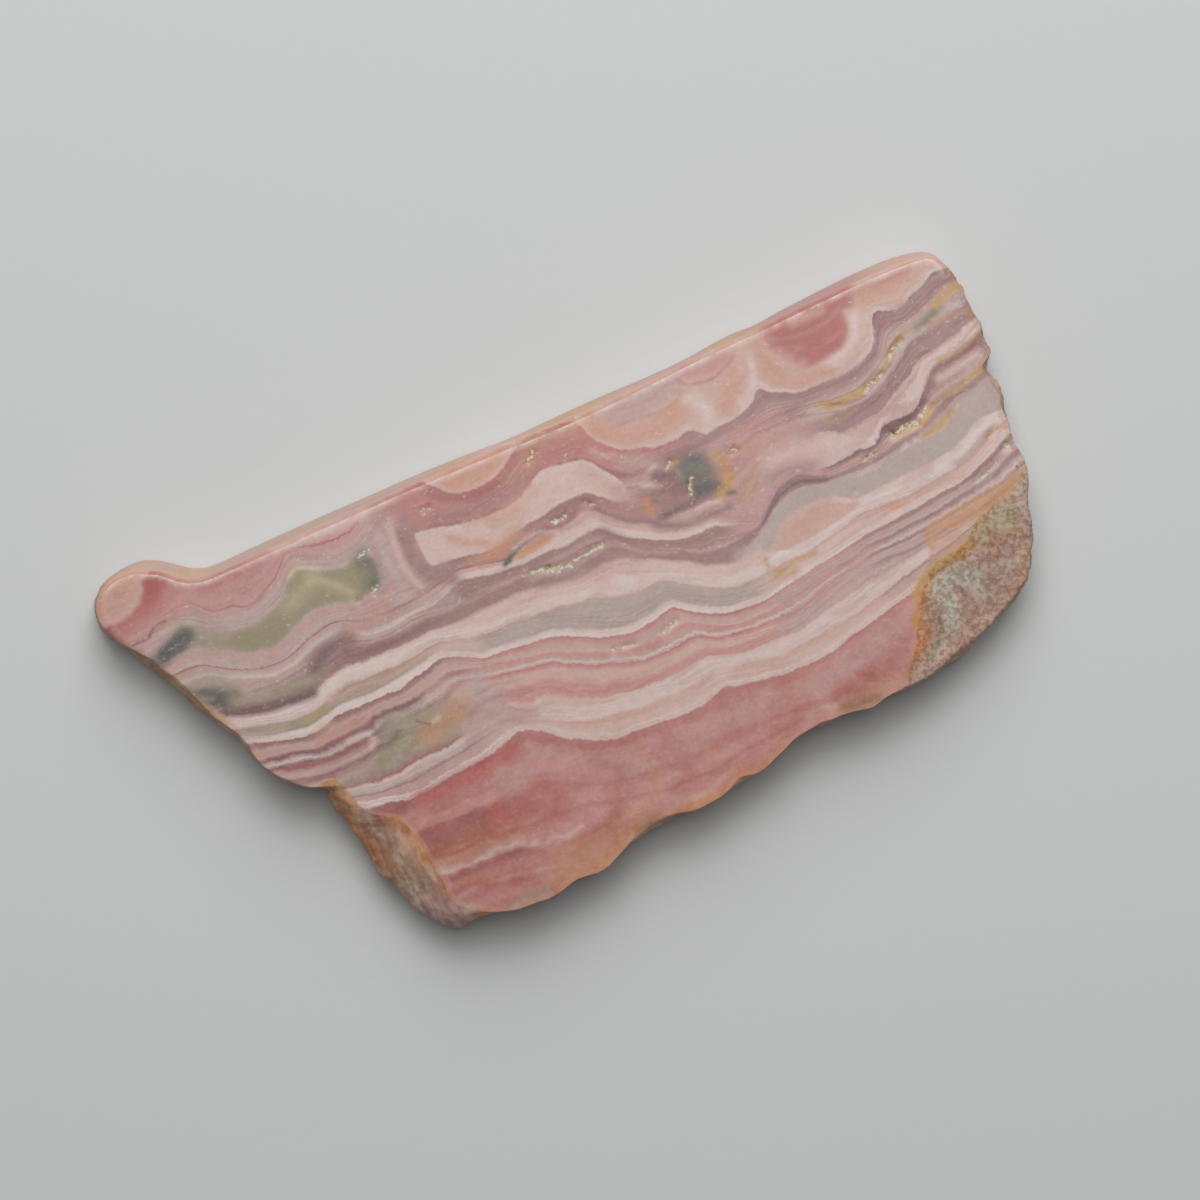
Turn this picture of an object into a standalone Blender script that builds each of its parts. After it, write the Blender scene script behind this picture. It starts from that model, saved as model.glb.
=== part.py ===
"""A polished slice of banded rhodochrosite: one piece of stone, lying on its sawn back.

Frame: metres, +Z up. The origin is the middle of the slice's outline, on the surface it lies on.
+X runs along the straight sawn edge, and +Y points from the old rind towards that edge.
"""

import bmesh
import bpy
from mathutils import Vector, noise

MM = 0.001

# Driving dimensions, in millimetres.
THICKNESS = 5.0
STATION_STEP = 0.95  # longest side of a facet along the rim
FACE_ROUNDING = ((0.42, 0.0), (0.13, 0.07), (0.0, 0.26))  # (in from the edge, down from the face)
FOOT_ROUNDING = ((0.0, 0.35), (0.28, 0.0))  # (in from the edge, up from the back)
PLAIN_FALL = 1.5  # depth of the shoulder where the wall has no slope above it
WALL_WAIST = 0.5  # height of the ring between shoulder and foot, as a share of the way
NORMAL_REACH = 2  # stations either side that an outward direction is averaged over

# How rough each kind of edge is: (size of the lumps, how far they stand out).
POLISHED = (4.0, 0.02)
SAWN = (6.0, 0.03)
BROKEN = (1.7, 0.16)
WEATHERED = (1.5, 0.22)

# The rim, clockwise seen from above, as stretches of one kind. A station is (x, y) of the
# polished face's edge and the flare, how far the foot stands out beyond it. Where the face
# ends in a slope, the station also has the slope's width (dx, dy) and its fall.
KNOB = (
    (-36.55, 14.75, 0.9), (-36.70, 15.50, 0.9), (-36.62, 16.30, 0.9), (-36.35, 17.00, 0.95),
    (-35.80, 17.50, 1.0), (-35.00, 17.80, 1.0), (-34.00, 17.95, 1.05), (-33.10, 17.90, 1.15),
    (-32.40, 17.70, 1.25), (-31.70, 17.35, 1.25), (-30.90, 16.95, 1.1), (-30.20, 16.35, 1.1),
    (-29.60, 15.75, 1.2), (-28.90, 15.30, 1.3), (-28.00, 15.02, 1.25),
)
SAWN_EDGE = (
    (-26.5, 14.94, 1.25), (-22.0, 14.92, 1.3), (-16.0, 14.95, 1.3), (-10.0, 14.93, 1.25),
    (-5.0, 14.85, 1.2), (-1.2, 14.80, 1.0), (1.0, 14.74, 1.05), (5.0, 14.70, 1.15),
    (8.0, 14.74, 1.1), (11.0, 14.82, 0.95), (14.0, 14.92, 0.85), (17.0, 15.02, 1.0),
    (19.0, 15.06, 1.1), (21.0, 15.08, 0.95), (23.0, 15.14, 1.1), (27.0, 15.25, 1.2),
    (31.0, 15.30, 1.3), (33.2, 15.24, 1.3), (34.4, 15.15, 1.2), (35.4, 15.00, 1.1),
)
RIGHT_BREAK = (
    (36.10, 14.68, 0.9), (36.52, 14.15, 0.6), (36.62, 13.50, 0.4), (36.68, 12.80, 0.4),
    (36.80, 12.20, 0.4), (37.08, 11.98, 0.3), (37.10, 11.55, 0.3), (36.93, 11.15, 0.4),
    (36.95, 10.50, 0.4), (36.83, 9.80, 0.5), (36.78, 9.35, 0.5), (37.02, 8.95, 0.3),
    (37.14, 8.35, 0.3), (37.02, 7.70, 0.3), (36.78, 7.32, 0.5), (36.92, 6.95, 0.4),
    (37.14, 6.55, 0.2), (37.02, 6.12, 0.2), (36.58, 5.75, 0.3), (36.12, 5.42, 0.5),
    (35.86, 5.05, 0.6), (35.84, 4.60, 0.7), (35.90, 4.05, 0.8), (35.95, 3.40, 1.0),
    (36.00, 2.90, 1.0), (36.02, 2.30, 0.9), (35.98, 1.70, 0.7), (35.93, 1.10, 0.6),
    (36.00, 0.40, 0.4), (35.88, -0.20, 0.3), (35.72, -0.90, 0.3), (35.72, -1.50, 0.3),
    (35.82, -2.10, 0.3), (35.82, -2.70, 0.3),
)
RIND_CORNER = (
    (35.60, -3.40, 0.2, 0.20, -0.10, 1.0), (34.70, -4.10, 0.2, 0.75, -0.50, 1.0),
    (33.30, -4.65, 0.2, 1.75, -0.95, 1.1), (31.80, -5.05, 0.2, 2.85, -1.65, 1.3),
    (30.40, -5.80, 0.2, 3.95, -1.95, 1.5), (29.20, -6.65, 0.2, 4.90, -2.05, 1.7),
    (28.20, -7.00, 0.2, 5.50, -2.55, 1.8), (27.10, -7.15, 0.2, 6.10, -3.25, 1.9),
    (26.10, -7.35, 0.2, 6.35, -4.00, 1.9), (25.30, -7.95, 0.2, 6.15, -4.25, 1.9),
    (24.60, -8.65, 0.2, 5.75, -4.20, 1.9), (24.10, -9.35, 0.2, 5.05, -4.10, 1.8),
    (23.60, -10.15, 0.2, 4.30, -3.75, 1.7), (23.05, -11.05, 0.2, 3.65, -3.30, 1.6),
    (22.60, -11.95, 0.3, 2.95, -2.80, 1.5), (22.10, -12.80, 0.3, 2.25, -2.30, 1.3),
    (21.55, -13.60, 0.2, 1.65, -1.80, 1.2), (20.95, -14.40, 0.2, 1.05, -1.20, 1.1),
    (20.35, -15.20, 0.2, 0.45, -0.50, 1.0),
)
LOWER_BREAK = (
    (19.50, -15.72, 0.1), (18.00, -15.75, 0.0), (16.80, -15.95, -0.2), (15.50, -15.82, -0.1),
    (14.20, -15.65, 0.0), (13.30, -15.48, 0.2), (12.60, -15.22, 0.6), (11.90, -15.38, 0.3),
    (11.00, -15.60, 0.1), (10.00, -15.85, -0.1), (9.00, -16.12, -0.2), (8.00, -16.60, -0.3),
    (7.00, -16.95, -0.3), (6.20, -17.12, -0.2), (5.60, -17.00, 0.2), (5.00, -16.75, 0.6),
    (4.50, -16.90, 0.5), (3.80, -17.30, 0.1), (2.80, -17.65, -0.2), (1.50, -17.75, -0.3),
    (0.00, -17.65, -0.1), (-1.00, -17.35, 0.4), (-2.00, -17.05, 0.9), (-3.40, -17.08, 1.0),
    (-4.40, -17.35, 0.9), (-4.95, -17.78, 0.4), (-5.60, -18.12, 0.1), (-6.50, -18.50, -0.1),
    (-7.50, -18.90, -0.3), (-8.50, -19.12, -0.4), (-9.50, -19.05, -0.3), (-10.50, -18.92, -0.2),
    (-11.50, -19.18, -0.4), (-13.00, -19.35, -0.5), (-15.00, -19.30, -0.5),
    (-16.50, -19.00, -0.3), (-17.60, -18.55, 0.0),
)
LEFT_SLOPE = (
    (-18.60, -17.98, 0.2, -0.30, -0.35, 2.4), (-19.50, -17.40, 0.3, -0.80, -1.25, 3.3),
    (-20.15, -16.65, 0.2, -1.75, -1.35, 3.8), (-20.28, -15.80, 0.2, -2.55, -0.65, 3.9),
    (-20.08, -15.00, 0.2, -3.25, -0.40, 3.9), (-20.18, -14.20, 0.2, -3.55, -0.15, 3.8),
    (-20.42, -13.35, 0.2, -3.75, 0.05, 3.8), (-20.58, -12.35, 0.2, -3.95, 0.05, 3.8),
    (-20.72, -11.35, 0.2, -3.95, 0.05, 3.8), (-20.90, -10.40, 0.2, -3.95, 0.05, 3.8),
    (-21.20, -9.45, 0.2, -3.80, 0.15, 3.8), (-21.55, -8.65, 0.2, -3.60, 0.35, 3.8),
    (-22.30, -8.18, 0.2, -3.05, 0.75, 3.8), (-23.00, -7.62, 0.2, -2.55, 1.05, 3.8),
    (-23.50, -6.95, 0.2, -2.25, 1.05, 3.8), (-23.85, -6.25, 0.2, -2.05, 0.90, 3.7),
    (-24.08, -5.55, 0.2, -1.90, 0.70, 3.6), (-24.30, -4.90, 0.2, -1.70, 0.35, 3.4),
    (-24.60, -4.35, 0.3, -1.25, 0.05, 3.2), (-25.10, -4.02, 0.3, -0.55, -0.15, 2.8),
)
LEFT_BREAK = (
    (-26.00, -3.76, 0.2), (-26.80, -3.42, 0.1), (-27.60, -2.92, 0.1), (-28.40, -2.25, 0.2),
    (-28.95, -1.50, 0.3), (-29.38, -0.60, 0.3), (-29.70, 0.30, 0.4), (-29.98, 1.20, 0.5),
    (-30.15, 2.10, 0.5), (-30.42, 3.00, 0.6), (-30.90, 3.95, 0.7), (-31.38, 4.85, 0.7),
    (-31.88, 5.85, 0.8), (-32.28, 7.00, 0.9), (-32.70, 8.10, 1.0), (-33.20, 9.20, 1.1),
    (-33.75, 10.15, 1.1), (-34.38, 11.05, 0.9), (-35.12, 12.15, 0.7), (-35.85, 13.35, 0.6),
    (-36.25, 14.15, 0.7),
)
STRETCHES = (
    (POLISHED, KNOB), (SAWN, SAWN_EDGE), (BROKEN, RIGHT_BREAK), (WEATHERED, RIND_CORNER),
    (BROKEN, LOWER_BREAK), (WEATHERED, LEFT_SLOPE), (BROKEN, LEFT_BREAK),
)


def clear_scene():
    for obj in list(bpy.data.objects):
        bpy.data.objects.remove(obj, do_unlink=True)


def control_stations():
    """Every station as one vector (x, y, flare, slope dx, slope dy, fall, lump size, lump height)."""
    stations = []
    for (lump_size, lump_height), stretch in STRETCHES:
        for station in stretch:
            slope = station[3:] if len(station) > 3 else (0.0, 0.0, PLAIN_FALL)
            stations.append((*station[:3], *slope, lump_size, lump_height))
    return [Vector(s) for s in stations]


def on_curve(before, start, end, after, t):
    """A point a share t of the way from start to end, on the centripetal Catmull-Rom curve."""
    knots = [0.0]
    for a, b in ((before, start), (start, end), (end, after)):
        knots.append(knots[-1] + max((b.xy - a.xy).length, 1e-6) ** 0.5)
    k0, k1, k2, k3 = knots
    at = k1 + t * (k2 - k1)
    a1 = before.lerp(start, (at - k0) / (k1 - k0))
    a2 = start.lerp(end, (at - k1) / (k2 - k1))
    a3 = end.lerp(after, (at - k2) / (k3 - k2))
    b1 = a1.lerp(a2, (at - k0) / (k2 - k0))
    b2 = a2.lerp(a3, (at - k1) / (k3 - k1))
    return b1.lerp(b2, (at - k1) / (k2 - k1))


def rim_stations():
    """The rim's stations, no further apart than STATION_STEP."""
    control = control_stations()
    count = len(control)
    rim = []
    for i, start in enumerate(control):
        end = control[(i + 1) % count]
        steps = max(1, round((end.xy - start.xy).length / STATION_STEP))
        around = (control[i - 1], start, end, control[(i + 2) % count])
        rim += [on_curve(*around, step / steps) for step in range(steps)]
    return rim


def outward_directions(points):
    """Unit vectors that point out of a clockwise outline, averaged over near stations."""
    count = len(points)
    directions = []
    for i in range(count):
        along = points[(i + NORMAL_REACH) % count] - points[i - NORMAL_REACH]
        directions.append(Vector((-along.y, along.x)).normalized())
    return directions


def rings(rim):
    """The slice's rings of points in millimetres, from the polished face down to the back."""
    face = [s.xy for s in rim]
    out = outward_directions(face)
    shoulder = []
    for station, direction in zip(rim, out):
        fall = station[5]
        share = fall / THICKNESS
        slope = Vector((station[3], station[4]))
        shoulder.append((station.xy + slope + direction * station[2] * share, THICKNESS - fall))
    edge = outward_directions([point for point, _ in shoulder])
    foot = [
        point + direction * station[2] * height / THICKNESS
        for (point, height), direction, station in zip(shoulder, edge, rim)
    ]
    made = []
    for inset, down in FACE_ROUNDING:
        made.append([(p - d * inset).to_3d() + Vector((0, 0, THICKNESS - down)) for p, d in zip(face, out)])
    edge_ring = made[-1]
    shoulder_ring = [Vector((*point, height)) for point, height in shoulder]
    lower_ring = [p.to_3d() + Vector((0, 0, FOOT_ROUNDING[0][1])) for p in foot]
    made.append([a.lerp(b, 0.5) for a, b in zip(edge_ring, shoulder_ring)])
    made.append(shoulder_ring)
    made.append([a.lerp(b, WALL_WAIST) for a, b in zip(shoulder_ring, lower_ring)])
    for inset, up in FOOT_ROUNDING:
        made.append([(p - d * inset).to_3d() + Vector((0, 0, up)) for p, d in zip(foot, edge)])
    return made, edge


def roughen(made, edge, rim):
    """Moves the wall's rings in and out as lumps. The two flat faces stay flat."""
    for ring in made[2:-1]:
        for point, direction, station in zip(ring, edge, rim):
            lump_size, lump_height = station[6], station[7]
            lift = noise.noise(point / lump_size) * 2.0 * lump_height
            point += (direction * lift).to_3d()


def build_slice(material):
    rim = rim_stations()
    made, edge = rings(rim)
    roughen(made, edge, rim)
    bm = bmesh.new()
    loops = [[bm.verts.new(point * MM) for point in ring] for ring in made]
    count = len(rim)
    for upper, lower in zip(loops, loops[1:]):
        for i in range(count):
            j = (i + 1) % count
            bm.faces.new((upper[i], upper[j], lower[j], lower[i]))
    bm.faces.new(loops[0][::-1])
    bm.faces.new(loops[-1])
    bmesh.ops.recalc_face_normals(bm, faces=bm.faces)
    mesh = bpy.data.meshes.new("rhodochrosite_slice")
    bm.to_mesh(mesh)
    bm.free()
    mesh.materials.append(material)
    mesh.shade_smooth()
    mesh.set_sharp_from_angle(angle=0.6)
    made_slice = bpy.data.objects.new("rhodochrosite_slice", mesh)
    bpy.context.scene.collection.objects.link(made_slice)
    return made_slice


def banded_stone():
    material = bpy.data.materials.new("banded rhodochrosite")
    material.use_nodes = True
    shader = material.node_tree.nodes["Principled BSDF"]
    shader.inputs["Base Color"].default_value = (0.50, 0.26, 0.23, 1.0)
    shader.inputs["Roughness"].default_value = 0.3
    shader.inputs["Metallic"].default_value = 0.0
    return material


def main():
    clear_scene()
    build_slice(banded_stone())


main()
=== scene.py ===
"""A polished slice of banded rhodochrosite, lying face up on a pale surface.

Lengths in the tables are millimetres. X runs along the slice's straight sawn edge, Y from the
broken lower edge towards it, and Z up out of the polished face.
"""

import math
from functools import partial

import bmesh
import bpy
import numpy as np
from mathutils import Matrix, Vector, kdtree, noise
from mathutils.geometry import delaunay_2d_cdt


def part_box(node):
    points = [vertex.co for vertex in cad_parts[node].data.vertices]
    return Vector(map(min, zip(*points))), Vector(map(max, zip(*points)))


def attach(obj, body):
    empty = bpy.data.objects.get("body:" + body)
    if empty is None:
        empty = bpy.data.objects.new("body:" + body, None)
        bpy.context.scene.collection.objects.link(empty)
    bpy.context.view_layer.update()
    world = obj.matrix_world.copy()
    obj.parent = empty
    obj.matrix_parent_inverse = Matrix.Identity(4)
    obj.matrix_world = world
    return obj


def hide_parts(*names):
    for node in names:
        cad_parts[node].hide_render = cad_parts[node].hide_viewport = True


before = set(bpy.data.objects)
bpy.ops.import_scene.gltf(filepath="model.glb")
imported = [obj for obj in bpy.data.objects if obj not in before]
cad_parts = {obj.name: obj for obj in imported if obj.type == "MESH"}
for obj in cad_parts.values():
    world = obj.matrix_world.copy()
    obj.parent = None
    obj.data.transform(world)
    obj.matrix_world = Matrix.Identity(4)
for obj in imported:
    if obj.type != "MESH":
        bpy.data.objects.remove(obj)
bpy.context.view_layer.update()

bl_info = {
    "name": "Rhodochrosite slice",
    "version": (1, 0, 0),
    "blender": (4, 5, 0),
    "location": "View3D > Sidebar > Stone",
    "description": "Adds a polished slice of banded rhodochrosite and a pale stage to show it on",
    "category": "Add Mesh",
}

NODE = "rhodochrosite_slice"
MM = 0.001
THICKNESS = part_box(NODE)[1].z / MM
MIDDLE = Vector((0.39, 0.76, 0.0))  # what the camera looks at
TURN = 24.1  # degrees that the sawn edge climbs in the view

EDGE = 0.5  # half the width over which a clear-cut edge is stored, to be sharpened by the material

# The sawn side and the knob's end stand straighter than the broken sides.
SAWN_EDGE = 0.45  # how far the polished face reaches out over the sawn side
SAWN_FROM, SAWN_FADE = 13.7, 0.8  # where in Y the sawn side begins, and how gradually
KNOB_TIP, KNOB_FADE = -36.4, 1.5  # where in X it ends at the knob, and how gradually
KNOB_EDGE = 0.35  # how far the polished face reaches out over the knob's end
KNOB_FROM = Vector((-33.5, 11.0))  # the corner where that begins
RIM_HIGHLIGHT_WIDTH = 0.5  # how far the painted highlight along the sawn rim reaches

# The broken sides: how many of each to a millimetre, and their height.
LUMPS, LUMP_HEIGHT = 0.55, 0.15
STEPS, STEP_HEIGHT = 1.9, 0.2
GRAINS, GRAIN_HEIGHT, RIND_GRAIN_HEIGHT = 4.5, 0.05, 0.03
SAW_MARKS, SAW_MARK_HEIGHT = Vector((0.8, 0.8, 3.0)), 0.015
TOP_FADE, FOOT_FADE = 0.5, 0.25  # over how much they begin, below the face and above the back
SKIN_FADE = 0.8  # how gradually the rind and the slope begin
FACET = 0.25  # the longest edge wanted on the broken sides
FACET_SLACK = 1.7  # an edge this many times longer is cut in two
CUTS = 3  # rounds of cutting
SMOOTHINGS = 5  # rounds of smoothing after it

# The net of triangles on the face and on the back, in steps of the net.
NET_ROW = 0.866  # height of a row of equal triangles
NET_CLEAR = 0.55  # kept clear along the rim

# How the growth lines are followed.
REACH = 42.0  # to each side of the middle
SPACING = 0.1
SOFTENING = 0.28  # rounds their corners
SOFTENING_SAMPLES = 8  # to each side
THINNEST = 0.02  # the least thickness of a layer

# The stage. Lengths here are metres.
LIGHTS = (("window light", 40.0, 1.83), ("ceiling light", 65.0, 1.66))  # name, climb in degrees, watts
LIGHT_SIZE = 0.5
LIGHT_DISTANCE = 0.55
ROOM_LIGHT = 0.145  # strength of the even light from all round
SENSOR = 36.0  # width of the camera's sensor in millimetres

# The stone's own colours, as sRGB, save the pale rim colour, which is a painted highlight, and one rind
# colour made lighter as painted light. The last four are tints that darken what they lie over.
STONE = {
    "white": "#cfbdb7",
    "pale": "#c9b2ab",
    "blush": "#c6a9a0",
    "peach": "#c09c8f",
    "peach_deep": "#bf8d78",
    "flesh": "#b5938c",
    "pink": "#ba8680",
    "rose": "#ae746e",
    "rose_dark": "#955f5c",
    "crimson": "#ab5d57",
    "garnet": "#a2534c",
    "brick": "#a3604c",
    "tan": "#b4826b",
    "russet": "#93706a",
    "heather": "#b38a85",
    "mauve_pale": "#b19a96",
    "mauve": "#967371",
    "mauve_dark": "#735456",
    "grey": "#aa9790",
    "olive": "#8e8264",
    "olive_grey": "#998b77",
    "slate": "#56534e",
    "slate_green": "#6f6a5d",
    "ochre": "#b58d52",
    "orange": "#bf7f45",
    "cream": "#c6b595",
    "crust": "#cfcdae",
    "brown": "#946a4a",
    "skin_tan": "#c2a592",
    "skin_rust": "#bd8a5e",
    "skin_grey": "#b6a79a",
    # mauve of the rind, made lighter to lift the shade at the slope's foot: partly painted light
    "skin_mauve_painted_light": "#c2aaa3",
    "skin_dark": "#a07d66",
    "skin_olive": "#ab9c82",
    "skin_pink": "#ab9588",
    "skin_green": "#b3b7a9",
    "saw_pink": "#bd9d93",
    "saw_peach": "#ba9d8f",
    "saw_tan": "#bf9c83",
    # painted highlight along the sawn rim of the polished face
    "edge": "#dcc8bf",
    "layer_tint": "#c98f8a",
    "cloud_tint": "#e3bbb6",
    "rind_tint": "#cbb09d",
    "slope_tint": "#cfb6a8",
}

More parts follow.
